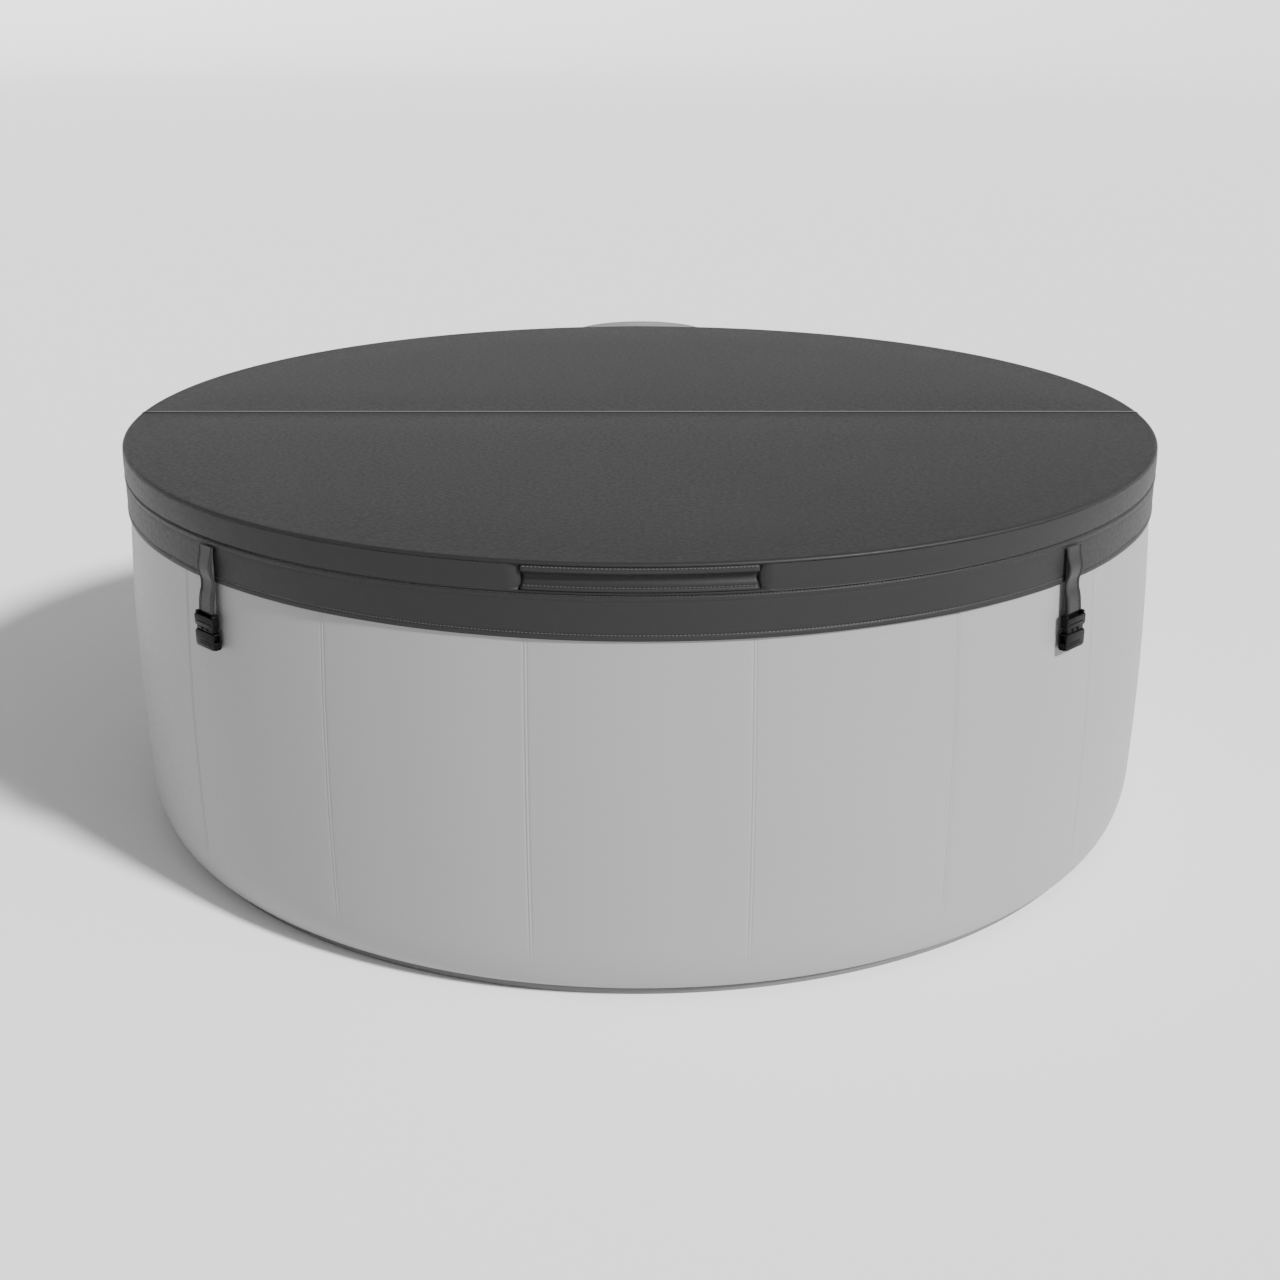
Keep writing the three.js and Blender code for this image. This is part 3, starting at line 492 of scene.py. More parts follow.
def seam_offset(bearing, z):
    """How far the skin stands off its mean radius: pillows between seams, a weld bead on each."""
    u = ((bearing - PANEL / 2) % PANEL) / PANEL
    from_seam = min(u, 1 - u) * math.radians(PANEL) * LOW_R
    fade = ramp(z, FOOT_TOP + 35 * MM, CORNER_TOP + 25 * MM)
    pillow = PILLOW * (1 - (2 * u - 1) ** 2) ** 0.8 - PILLOW * 0.75
    crease = -0.8 * MM * math.exp(-(((from_seam - 2.6 * MM) / (1.1 * MM)) ** 2))
    bead = 0.35 * MM * math.exp(-((from_seam / (1.6 * MM)) ** 2))
    return fade * (pillow + crease + bead)


def seam_bearings():
    """Bearings with close rows at each weld seam and even ones between."""
    near = [0, 1.0, 2.0, 3.0, 4.0, 5.5, 8, 14, 26]
    close = [math.degrees(d * MM / LOW_R) for d in near]
    between = [PANEL * k / 12 for k in range(2, 11)]
    bearings = []
    for i in range(PANELS):
        seam = PANEL / 2 + i * PANEL
        offsets = set(close) | {PANEL - c for c in close if c > 0} | set(between)
        bearings += [seam + o for o in sorted(offsets)]
    return bearings


def make_outer_wall():
    line = outer_line()
    top = HEM_R - RIM_ROUND

    def profile(bearing):
        moved = [(r + seam_offset(bearing, z) * ramp(r, top, top + 30 * MM), z) for r, z in line]
        return skin(moved, 1.0 * MM)

    verts, faces = turned(profile, seam_bearings())
    return piece("wall_outer_skin", verts, faces, PALE, "tub", ["outer_wall"], "pale_vinyl")


def make_foot_band():
    inner = FOOT_R - 26 * MM
    outline = [(inner, 0.0), (FOOT_R - 2 * MM, 0.0), (FOOT_R, 2 * MM), (FOOT_R + 0.4 * MM, FOOT_TOP * 0.5),
               (FOOT_R, FOOT_TOP - 2 * MM), (FOOT_R - 2 * MM, FOOT_TOP), (inner, FOOT_TOP)]
    verts, faces = turned(lambda b: outline, [i * 1.5 for i in range(240)])
    return piece("foot_band", verts, faces, BAND, "tub", ["base_ring"], "dark_band")


# ---- the cover ----------------------------------------------------------------------------

ROLL = 5 * MM
TOP_STITCH_Z = COVER_TOP - 5 * MM
NOTCH_DEPTH = 15 * MM
NOTCH_SLOPE = 1.35
NOTCH_END = 8 * MM
NOTCH_EDGE = GRIP_HALF + 0.02
END_BEARING = math.degrees(math.acos(FOLD_GAP / COVER_R))
HALVES = {-1: "front", 1: "rear"}


def half_bearings(side, extra=()):
    """Bearings of one half's rim from one end of the fold to the other."""
    even = [END_BEARING * (2 * i / 150 - 1) for i in range(151)]
    bearings = sorted(set(even) | set(extra))
    return [b if side < 0 else b + 180 for b in bearings]


def band_offset(bearing, z, side):
    """The side band's radial offset: a soft swell, and the front half's notch for the grip."""
    t = (z - SEAM_Z) / (TOP_STITCH_Z - SEAM_Z)
    swell = 0.8 * MM * math.sin(math.pi * min(1, max(0, t)))
    if side > 0 or not GRIP_LOW.z - 1 * MM < z < GRIP_HIGH.z + 1 * MM:
        return swell
    from_middle = abs((bearing + 180) % 360 - 180)
    if from_middle < NOTCH_EDGE:
        return -NOTCH_DEPTH
    share = max(0.0, 1 - (from_middle - NOTCH_EDGE) / NOTCH_SLOPE)
    return swell - NOTCH_END * share ** 2.2


def band_heights():
    """Heights down the side band, with pairs at the notch's upper and lower edges."""
    upper, lower = GRIP_HIGH.z + 1 * MM, GRIP_LOW.z - 1 * MM
    step = 0.05 * MM
    middle = [lower + (upper - lower) * k / 8 for k in range(1, 8)]
    heights = [TOP_STITCH_Z - 1.0 * MM, upper + step, upper - step, *middle[::-1]]
    return heights + [lower + step, lower - step, lower - 3 * MM, SEAM_Z + 2.2 * MM, SEAM_Z + 1 * MM]


def crown(x, y, d_fold, d_rim):
    """Height of the top skin above its flat: rolled rim and fold edges, a swell and faint ripples."""
    roll = 0.0
    for d, r in ((d_fold, ROLL * 0.8), (d_rim, ROLL)):
        if d < r:
            roll = max(roll, r - math.sqrt(max(0.0, r * r - (r - d) ** 2)))
    swell = 1.4 * MM * ramp(min(d_fold, d_rim), 0, 0.18)
    ripple = 0.35 * MM * noise.noise(Vector((x * 3.0, y * 3.0, 0.3)))
    return -roll + swell + ripple * ramp(min(d_fold, d_rim), 0.01, 0.1)


def top_rows(length):
    """Distances from the fold to the rim along one line of the top skin."""
    near = [0, 0.6, 1.4, 2.4, 3.6, 5.5, 10, 22, 50]
    steps = [d * MM for d in near]
    limit = length / 2
    scale = min(1.0, limit / steps[-1])
    first = [d * scale for d in steps]
    last = [length - d * scale for d in steps][::-1]
    between = [first[-1] + (last[0] - first[-1]) * k / 14 for k in range(1, 14)]
    return first + between + last


def cover_slice(bearing, side):
    """Points over the top from the fold, down the side band, and back along the underside."""
    under, low = COVER_LOW.z, COVER_R - 2.5 * MM
    rim = spot(COVER_R, bearing, 0)
    points = []
    for d in top_rows(max(abs(rim.y) - FOLD_GAP, 0.0)):
        y = side * (FOLD_GAP + d)
        d_rim = max(0.0, COVER_R - math.hypot(rim.x, y))
        points.append(Vector((rim.x, y, COVER_TOP + crown(rim.x, y, d, d_rim))))
    for inward, down in ((0.0, -0.9), (1.7, -0.2), (1.7, 0.3), (0.1, 0.9)):
        points.append(spot(COVER_R - inward * MM, bearing, TOP_STITCH_Z - down * MM))
    for z in band_heights():
        points.append(spot(COVER_R + band_offset(bearing, z, side), bearing, z))
    points.append(spot(COVER_R - 1.2 * MM, bearing, SEAM_Z + 0.3 * MM))
    points.append(spot(low, bearing, under))
    reach = max(0.0, low * abs(math.cos(math.radians(bearing))) - FOLD_GAP)
    for share in (0.66, 0.33, 0.0):
        points.append(Vector((rim.x * low / COVER_R, side * (FOLD_GAP + reach * share), under)))
    for z in (under + 1.5 * MM, COVER_TOP - ROLL * 0.8):
        points.append(Vector((rim.x, side * FOLD_GAP, z)))
    return points


def make_cover_panel(side):
    """One half of the cover: top skin, side band, fold face and underside, as one closed skin."""
    edge = [NOTCH_EDGE - 0.01, NOTCH_EDGE + 0.01]
    edge += [NOTCH_EDGE + NOTCH_SLOPE * k / 8 for k in range(1, 9)]
    notch = [sign * b for b in edge for sign in (-1, 1)] if side < 0 else []
    slices = [cover_slice(b, side) for b in half_bearings(side, notch)]
    verts = [v for points in slices for v in points]
    faces = grid_faces(len(slices), len(slices[0]), wrap_columns=True)
    half = HALVES[side]
    nodes = [half + "_jacket", half + "_foam"]
    panel = piece("cover_" + half, verts, faces, COVER, half + "_cover", nodes, "cover_vinyl")


# The skirt's face below the seam, as (height from the cover's top, offset) in millimetres.
SKIRT_LINE = [
    (-51.4, -5.0), (-51.6, -0.6), (-52.4, 0.9), (-54, 1.2), (-57.5, 1.0), (-59.2, 0.5), (-60, -0.3),
    (-61, 0.0), (-70, 0.1), (-80, 0.1), (-90, 0.1), (-100, 0.1), (-108, 0.1), (-113.2, 0.1),
    (-113.8, -0.4), (-114.6, 0.7), (-118, 1.1), (-121.5, 1.0), (-123, 0.6), (-123.4, -0.2),
]


def make_skirt(side):
    """The hanging valance: a folded top strip, a plain drop with a slight wave, and a sewn hem."""
    count = 240
    start, *_, end = half_bearings(side)
    bearings = [start + (end - start) * i / count for i in range(count + 1)]
    drop = COVER_TOP - SKIRT_BOTTOM

    def profile(bearing):
        slow = noise.noise(Vector((bearing * 0.11, side * 3.0, 0))) * 0.9
        quick = noise.noise(Vector((bearing * 0.45, 5, 0))) * 0.25
        line = []
        for dz, off in SKIRT_LINE:
            wave = ramp(-dz * MM, 60 * MM, drop) * (slow + quick)
            line.append((COVER_R + (off + wave) * MM, COVER_TOP + dz * MM))
        return skin(line[::-1], 1.2 * MM)

    verts, faces = turned(profile, bearings, closed_turn=False)
    half = HALVES[side]
    made = piece("skirt_" + half, verts, faces, COVER, half + "_cover", [half + "_skirt"], "cover_vinyl")


def make_stitches(side):
    """Stitch rows at the top edge, at the skirt's seam and along the hem."""
    middle = 0 if side < 0 else 180
    start, end = middle - END_BEARING + 0.2, middle + END_BEARING - 0.2
    rows = [
        stitches_round(COVER_R - 1.3 * MM, TOP_STITCH_Z, start, end),
        stitches_round(COVER_R - 0.4 * MM, SEAM_Z + 0.4 * MM, start, end),
        stitches_round(COVER_R + 0.4 * MM, COVER_TOP - 113.6 * MM, start, end),
    ]
    half = HALVES[side]
    piece("stitches_" + half, *joined(*rows), THREAD, half + "_cover", slot="cover_vinyl")


# The grip's face from top to bottom, as (height from the cover's top, offset) in millimetres.
GRIP_LINE = [
    (-5.7, -3.2), (-6.1, -1.2), (-7, -0.3), (-10.5, 0.1), (-14.5, -0.2), (-16.6, -0.9), (-17.4, -2.6),
    (-17.8, -5.2), (-19.6, -8.0), (-22, -10.0), (-25, -11.6), (-28, -12.2), (-31, -11.8), (-34, -10.2),
    (-36.6, -8.0), (-38.6, -5.4), (-40.2, -2.8), (-41.2, -1.4), (-43, -0.7), (-45, -0.9), (-46.2, -1.8),
    (-46.8, -3.6),
]


def make_grip():
    """The moulded finger channel in the front edge, with its sewn upper strip."""
    half = GRIP_HALF - 0.06
    count = 60
    bearings = [-half + 2 * half * i / count for i in range(count + 1)]
    line = [(COVER_R + off * MM, COVER_TOP + dz * MM) for dz, off in GRIP_LINE]
    outline = skin(line[::-1], 1.6 * MM)
    verts, faces = turned(lambda b: outline, bearings, closed_turn=False)
    piece("grip", verts, faces, COVER, "front_cover", ["grip_channel"], "cover_vinyl")
    rows = [
        stitches_round(COVER_R + 0.4 * MM, COVER_TOP - 8.2 * MM, -half + 0.1, half - 0.1),
        stitches_round(COVER_R - 3.6 * MM, COVER_TOP - 39.4 * MM, -half + 0.1, half - 0.1),
    ]
    piece("grip_stitches", *joined(*rows), THREAD, "front_cover", slot="cover_vinyl")


def make_fold_strip():
    """The vinyl that joins the halves across the fold: two low beads and a pinched middle."""
    count = 200
    reach = COVER_R - 3 * MM
    section = [(-9, -1.1), (-7, -0.2), (-5.4, 0.6), (-4.2, 0.9), (-3, 0.3), (-1.4, -0.9), (0, -1.3),
               (1.4, -0.9), (3, 0.3), (4.2, 0.9), (5.4, 0.6), (7, -0.2), (9, -1.1)]
    rows = []
    for i in range(count + 1):
        x = -reach + 2 * reach * i / count
        upper = [Vector((x, y * MM, COVER_TOP + (z + 0.5) * MM)) for y, z in section]
        lower = [v - Vector((0, 0, 1.2 * MM)) for v in reversed(upper)]
        rows.append(upper + lower)
    made = piece("fold_strip", *solid(rows), COVER, None, ["hinge_strip"], "cover_vinyl")
    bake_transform(made)


def make_highlight_bead(name, paint, body, y, half, rise):
    """A round bead along the top skin at a distance from the fold, in millimetres, painted lighter than the
    cover as a highlight line along a panel edge.
    """
    reach = COVER_R - 6 * MM
    ring = [(1, 0), (0.7, 0.8), (0, 1), (-0.7, 0.8), (-1, 0), (-0.7, -1), (0.7, -1)]
    steps = 160
    rows = []
    for i in range(steps + 1):
        x = -reach + 2 * reach * i / steps
        lift = crown(x, y * MM, abs(y) * MM - FOLD_GAP, COVER_R - math.hypot(x, y * MM))
        top = COVER_TOP + lift - 0.1 * MM
        rows.append([Vector((x, (y + half * u) * MM, top + rise * w * MM)) for u, w in ring])
    piece(name, *solid(rows), paint, body, slot="cover_vinyl")


def make_cover():
    for side in (-1, 1):
        make_cover_panel(side)
        make_skirt(side)
        make_stitches(side)
    make_grip()
    make_fold_strip()
    # Painted highlights along the fold: a pale bead for the bright edge of the rear panel, and a thin
    # thread-coloured bead for the fainter light line on the front panel's edge.
    make_highlight_bead("fold_painted_highlight_rear", FOLD_HIGHLIGHT, "rear_cover", 7.6, 1.7, 1.7)
    make_highlight_bead("fold_painted_highlight_front", THREAD, "front_cover", -9.2, 0.6, 0.5)


# ---- straps and buckles -------------------------------------------------------------------

STRAP_WIDTH = 41 * MM
STRAP_LINE = [(1022.8, 701), (1025, 688), (1030.5, 668), (1030, 655), (1026.2, 642), (1026.6, 628),
              (1031, 612), (1034, 587)]
# How thick the doubled webbing behind the strap is, from top to buckle, in millimetres.
WEBBING_DEPTH = [0.6, 1.6, 6.5, 5.6, 1.6, 2.8, 6.4, 7.0]


def strip_section(width, steps, edge_lift, groove, thickness):
    """Across a strap: (across, lift) points of its front from one edge to the other."""
    points = []
    for i in range(steps + 1):
        u = 2 * i / steps - 1
        a = (1 - abs(u)) * width / 2
        lift = edge_lift * math.exp(-(((a - 2.4 * MM) / (1.4 * MM)) ** 2))
        lift -= groove * math.exp(-(((a - 5.4 * MM) / (0.9 * MM)) ** 2))
        lift -= thickness * 0.5 * ramp(1.2 * MM - a, 0, 1.2 * MM)
        points.append((u * width / 2, lift))
    return points


def ribbon(bearing, line, section, depths, width_at=lambda t: 1.0):
    """A closed strap along (r, z) points at a bearing, with a front section and a depth at each point."""
    rows = []
    for i, (r, z) in enumerate(line):
        before, after = line[max(i - 1, 0)], line[min(i + 1, len(line) - 1)]
        dr, dz = after[0] - before[0], after[1] - before[1]
        size = math.hypot(dr, dz)
        nr, nz = -dz / size, dr / size
        scale = width_at(i / (len(line) - 1))
        front = [(x * scale, r + nr * lift, z + nz * lift) for x, lift in section]
        back = [(x * scale, r - nr * depths[i], z - nz * depths[i]) for x, _ in section[::-1]]
        rows.append([radial(bearing, *point) for point in front + back])
    return solid(rows)


def radial(bearing, x, r, z):
    """A point given across, outwards and up at a bearing."""
    a = math.radians(bearing)
    return Vector((r * math.sin(a) + x * math.cos(a), -r * math.cos(a) + x * math.sin(a), z))


def rounded_loop(half_x, half_y, corner, steps):
    """Points round a rectangle about the origin, with round corners."""
    x, y = half_x - corner, half_y - corner
    loop = []
    for quarter, (cx, cy) in enumerate(((x, y), (-x, y), (-x, -y), (x, -y))):
        for k in range(steps + 1):
            t = math.radians(90 * (quarter + k / steps))
            loop.append((cx + corner * math.cos(t), cy + corner * math.sin(t)))
    return loop


def block(bearing, half_x, r0, r1, z0, z1, corner=3.0, bevel=1.4, shift=0.0):
    """A moulded block in millimetres at a bearing: rounded corners and eased front and back edges."""
    middle, half_z = (z0 + z1) / 2, (z1 - z0) / 2
    depths = [(r0, bevel), (r0 + bevel * 0.3, bevel * 0.3), (r0 + bevel, 0), (r1 - bevel, 0),
              (r1 - bevel * 0.3, bevel * 0.3), (r1, bevel)]
    rings = []
    for r, inset in depths:
        loop = rounded_loop(half_x - inset, half_z - inset, max(corner - inset, 0.2), 5)
        rings.append([radial(bearing, (x + shift) * MM, r * MM, (middle + z) * MM) for x, z in loop])
    return solid(rings)


def plug_mesh(bearing, z):
    """The strap's half: a frame round the web slot, a domed rib, a neck, side arms and the tongue."""
    parts = [
        block(bearing, 28.5, 1026.2, 1029.4, z + 38.4, z + 62, 4, 1.0),
        block(bearing, 28.5, 1036.6, 1040.2, z + 37.2, z + 57, 4, 1.3),
        block(bearing, 28.5, 1028.6, 1037.6, z + 38.4, z + 48, 3, 1.0),
        block(bearing, 22, 1037.6, 1041.2, z + 42.2, z + 46.4, 1.9, 1.2),
        block(bearing, 24.2, 1029, 1039.2, z + 30.1, z + 39, 2.4, 0.9),
        block(bearing, 10.6, 1030.5, 1036, z + 7.5, z + 39.5, 3, 1.2),
    ]
    for side in (-1, 1):
        parts.append(block(bearing, 3.1, 1028.6, 1037.6, z + 39, z + 62, 2.5, 1.0, shift=side * 25.4))
        parts.append(block(bearing, 2.8, 1030.3, 1036.2, z + 16, z + 40, 2.4, 1.0, shift=side * 19))
        parts.append(block(bearing, 2.4, 1038.6, 1041.2, z + 31.6, z + 36.4, 2.2, 1.1, shift=side * 8))
    return joined(*parts)


def socket_mesh(bearing, z):
    """The wall's half: a hollow block with a window in each side and two ribs on its face."""
    parts = [
        block(bearing, 28.2, 1025.3, 1028.3, z + 0.2, z + 29.8, 6, 1.1),
        block(bearing, 28.2, 1037.9, 1041.2, z + 0.2, z + 29.8, 6, 1.5),
        block(bearing, 28.2, 1027.8, 1038.4, z + 0.2, z + 5.2, 4, 1.0),
    ]
    for side in (-1, 1):
        parts.append(block(bearing, 2.4, 1027.8, 1038.4, z + 2, z + 14, 2, 0.9, shift=side * 25.6))
        parts.append(block(bearing, 2.4, 1027.8, 1038.4, z + 26, z + 29.6, 1.6, 0.9, shift=side * 25.6))
    parts.append(block(bearing, 20, 1040.6, 1041.9, z + 6.2, z + 8.0, 0.85, 0.4))
    parts.append(block(bearing, 17, 1040.6, 1041.9, z + 10.6, z + 12.4, 0.85, 0.4))
    return joined(*parts)


def strap_stitches(bearing, line):
    """A row of stitches beside each edge of the strap."""
    out = spot(1, bearing, 0)
    across = radial(bearing, 1, 0, 0)
    places = []
    for i in range(2, len(line) - 2, 2):
        (r0, z0), (r1, z1) = line[i - 1], line[i + 1]
        along = Vector(out * (r1 - r0) + Vector((0, 0, z1 - z0))).normalized()
        face = along.cross(across).normalized()
        face = face if face.dot(out) > 0 else -face
        for side in (-1, 1):
            centre = radial(bearing, side * 15 * MM, *line[i]) + face * 0.25 * MM
            places.append((centre, along, face))
    return stitch_mesh(places, 3.4 * MM, 0.5 * MM)


def flare(t):
    """The strap's width as a share, from where it is sewn on (0) to the buckle (1)."""
    return 1.0 + 0.05 * (1 - ramp(t, 0, 0.25)) - 0.03 * math.sin(math.pi * t)


def make_strap(place, bearing):
    body, socket_body = "strap_body_" + place, "socket_body_" + place
    steps = 9
    line = [(r * MM, z * MM) for r, z in smooth_line(STRAP_LINE, steps)]
    depths = [d[0] * MM for d in smooth_line([(d,) for d in WEBBING_DEPTH], steps)]
    behind = [(r - 0.9 * MM, z) for r, z in line]
    front = [(r + 0.4 * MM, z) for r, z in line]
    section = strip_section(STRAP_WIDTH, 64, 1.5 * MM, 1.3 * MM, 1.1 * MM)
    vinyl = ribbon(bearing, front, section, [1.1 * MM] * len(line), flare)
    piece("strap_vinyl_" + place, *vinyl, STRAP, body, ["strap_" + place], "strap_vinyl")
    # The doubled webbing behind the strap, near-black as painted shade in the gap between strap and skirt.
    flat = strip_section(STRAP_WIDTH - 2 * MM, 12, 0.1 * MM, 0.0, 0.3 * MM)
    webbing = ribbon(bearing, behind, flat, depths)
    piece("strap_webbing_" + place, *webbing, SHADED_WEBBING, body, slot="strap_vinyl")
    stitches = strap_stitches(bearing, front)
    piece("strap_stitches_" + place, *stitches, THREAD, body, slot="strap_vinyl")
    plug_node, socket_node = "buckle_plug_" + place, "buckle_socket_" + place
    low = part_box(socket_node)[0].z / MM
    piece("plug_" + place, *plug_mesh(bearing, low), BUCKLE, body, [plug_node], "black_plastic")
    socket = socket_mesh(bearing, low)
    piece("socket_" + place, *socket, BUCKLE, socket_body, [socket_node], "black_plastic")
    tab = "wall_tab_" + place
    tab_low, tab_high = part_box(tab)
    # The tab's patch is painted near-black, as shade under the socket, so that it does not catch light.
    patch = block(bearing, 17.6, 1021.6, 1023.4, tab_low.z / MM + 0.3, tab_high.z / MM - 0.3, 4, 0.6)
    piece("patch_" + place, *patch, SHADED_WEBBING, "tub", [tab], "strap_vinyl")


# ---- inside the tub -----------------------------------------------------------------------


def make_inner_wall():
    """The inner skin: rim, upright wall with shallow panels, and the welded foot."""
    rim_r = INNER_R + INNER_ROUND
    rim = arc(rim_r, WALL_TOP - INNER_ROUND, INNER_ROUND, INNER_ROUND, 90, 180, 10)
    count = 16
    low = FOOT_TOP + 3.2 * MM
    high = WALL_TOP - INNER_ROUND
    line = rim + [(INNER_R, high - (high - low) * (i + 1) / count) for i in range(count)]

    def profile(bearing):
        moved = []
        for r, z in line:
            fade = ramp(z, low + 20 * MM, low + 90 * MM) * ramp(rim_r - r, 0, INNER_ROUND * 0.8)
            moved.append((r - seam_offset(bearing, 0.4) * 0.6 * fade, z))
        return skin(moved, 1.0 * MM)

    verts, faces = turned(profile, seam_bearings())
    piece("wall_inner_skin", verts, faces, PALE, "tub", ["inner_wall"], "pale_vinyl")


def make_rim_band():
    """The flat band over the chamber's top, welded to both skins with low ribs."""
    inner, outer = INNER_R + INNER_ROUND, RIM_OUT_R
    count = 40
    line = []
    for i in range(count + 1):
        r = inner + (outer - inner) * i / count
        rib = 0.5 * MM * math.exp(-(((min(r - inner, outer - r) - 7 * MM) / (2 * MM)) ** 2))
        line.append((r, WALL_TOP - 0.6 * MM + rib))
    outline = line + [(r, z - 1.4 * MM) for r, z in line[::-1]]
    verts, faces = turned(lambda b: outline, [i * 2 for i in range(180)])
    piece("rim_band", verts, faces, PALE, "tub", ["top_rim"], "pale_vinyl")


CUSHION = 62 * MM
CUSHION_ROW = CUSHION * 0.866
CUSHION_RISE = 1.6 * MM


def cushion(x, y):
    """0 on the weld lines between the floor's cushions, rising to 1 on the cushions."""
    best = second = 9.0
    row = round(y / CUSHION_ROW)
    for j in (row - 1, row, row + 1):
        offset = 0.5 * CUSHION * (j % 2)
        column = round((x - offset) / CUSHION)
        for i in (column - 1, column, column + 1):
            d = math.hypot(x - offset - i * CUSHION, y - j * CUSHION_ROW)
            if d < best:
                best, second = d, best
            elif d < second:
                second = d
    return ramp(second - best, 0, 14 * MM)


def make_floor_pad():
    """The floor's vinyl with a welded honeycomb of cushions."""
    rings, sides = 90, 216
    low = FLOOR_TOP - 3 * MM
    verts = [Vector((0, 0, FLOOR_TOP))]
    for i in range(1, rings + 1):
        r = (INNER_R - 1 * MM) * i / rings
        for j in range(sides):
            a = 2 * math.pi * j / sides
            x, y = r * math.cos(a), r * math.sin(a)
            rise = CUSHION_RISE * (cushion(x, y) - 1) if i < rings - 2 else -1.2 * MM
            verts.append(Vector((x, y, FLOOR_TOP + rise)))
    faces = [(0, 1 + j, 1 + (j + 1) % sides) for j in range(sides)]
    for i in range(rings - 1):
        a, b = 1 + i * sides, 1 + (i + 1) * sides
        faces += [(a + j, b + j, b + (j + 1) % sides, a + (j + 1) % sides) for j in range(sides)]
    base = len(verts)
    edge = 1 + (rings - 1) * sides
    verts += [Vector((v.x, v.y, low)) for v in verts[edge:edge + sides]]
    faces += [(edge + j, base + j, base + (j + 1) % sides, edge + (j + 1) % sides) for j in range(sides)]
    faces.append(tuple(range(base, base + sides)))
    piece("floor_pad", verts, faces, PALE, "tub", ["tub_floor"], "pale_vinyl")


def make_bubble_ring():
    """The air ring round the floor: a ribbed tube with a row of small jets."""
    low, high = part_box("bubble_ring")
    tube_r = (high.z - low.z) / 2
    ring_r, z = high.x - tube_r, (high.z + low.z) / 2
    sides, around = 360, 14
    rows = []
    for i in range(sides):
        b = 360 * i / sides
        r = tube_r * (0.955 + 0.04 * math.cos(math.radians(b * 90)))
        rows.append([spot(ring_r + r * math.cos(t), b, z + r * math.sin(t))
                     for t in (2 * math.pi * k / around for k in range(around))])
    parts = [solid(rows, closed_turn=True)]
    jets = 60
    for i in range(jets):
        centre = spot(ring_r - tube_r * 0.62, 360 * (i + 0.5) / jets, z + tube_r * 0.62)
        inward = spot(-0.7, 360 * (i + 0.5) / jets, 0.7)
        line = [(0, -2), (2.6, -2), (2.6, 0.8), (1.9, 1.3), (1.1, 1.3), (1.0, 0.2), (0, 0.2)]
        parts.append(placed(lathe([(r * MM, h * MM) for r, h in line], 10), centre, inward))
    piece("bubble_tube", *joined(*parts), FITTING, "tub", ["bubble_ring"], "grey_fitting")


# ---- lathed fittings ----------------------------------------------------------------------

REARWARD = (0, 1, 0)
INLET_X, OUTLET_X = -65 * MM, 65 * MM
PORT_Z = 150 * MM
AIR_Z = 430 * MM
PORT_Y = 789 * MM
NUT_Y = 1034 * MM
PLEATS_Y = 704 * MM
CAGE_Y = 696.2 * MM
SCREEN_Y = 768.2 * MM
VALVE_BEARING, VALVE_Z = 160, 560 * MM
DRAIN_BEARING, DRAIN_Z = -160, 76 * MM


def lathe(line, sides, shape=None):
    """A closed (r, h) outline turned about Z. shape(angle, r, h) may change r."""
    rows = []
    for i in range(sides):
        a = 2 * math.pi * i / sides
        ring = [((shape(a, r, h) if shape else r), h) for r, h in line]
        rows.append([Vector((r * math.cos(a), r * math.sin(a), h)) for r, h in ring])
    return solid(rows, closed_turn=True)


def placed(parts, origin, axis):
    verts, faces = parts
    turn = Vector((0, 0, 1)).rotation_difference(Vector(axis).normalized())
    return [turn @ v + Vector(origin) for v in verts], faces


def mm(line):
    return [(r * MM, h * MM) for r, h in line]


def knurl(count, depth, above):
    """Rounded grip ribs on whatever lies further out than a radius."""
    def shape(a, r, h):
        return r if r < above * MM else r - depth * MM * (0.5 - 0.5 * math.cos(count * a)) ** 3
    return shape


def nut_mesh(bore, outer, x, z):
    line = [(bore, 0), (outer - 3, 0), (outer - 1, 0.6), (outer, 2.2), (outer, 9), (outer - 0.9, 10),
            (outer - 0.9, 11), (outer, 12), (outer, 25.6), (outer - 1, 27.4), (outer - 3, 28), (bore, 28)]
    ribs = knurl(12 if outer < 30 else 16, 2.6, outer - 2)
    return placed(lathe(mm(line), 144, ribs), (x, NUT_Y, z), REARWARD)


def port_mesh(x):
    """A water port: flanges with raised lips, the tube, and a thread on its neck."""
    line = [(19, 0), (37, 0), (39.4, 1.2), (39.4, 4), (38.6, 5.8), (24, 6), (24, 239), (37, 239.2),
            (38, 240.4), (37.4, 243.6), (27, 244), (24, 245)]
    line += [(23.9 - 0.9 * (k % 2), 246 + k * 0.9) for k in range(1, 16)] + [(23, 261), (19, 261)]
    return placed(lathe(mm(line), 72), (x, PORT_Y, PORT_Z), REARWARD)


def make_wall_fittings():
    for name, x in (("inlet", INLET_X), ("outlet", OUTLET_X)):
        piece(name + "_fitting", *port_mesh(x), FITTING, "tub", [name + "_port"], "grey_fitting")
        union = nut_mesh(24.6, 33, x, PORT_Z)
        piece(name + "_union", *union, DARK, name + "_nut_body", [name + "_nut"], "dark_shell")
    piece("air_union", *nut_mesh(12.6, 21, 0, AIR_Z), DARK, "air_nut_body", ["air_nut"], "dark_shell")


def pleated(a, r, h):
    """Pleats between the cartridge's end caps, outside its core."""
    if r < 40 * MM or not 4 * MM < h < 74 * MM:
        return r
    return r - 9 * MM * (0.5 - 0.5 * math.cos(44 * a))


def hoop(inner, outer, low, high, sides=96):
    return lathe(mm([(inner, low), (outer, low), (outer, high), (inner, high)]), sides)


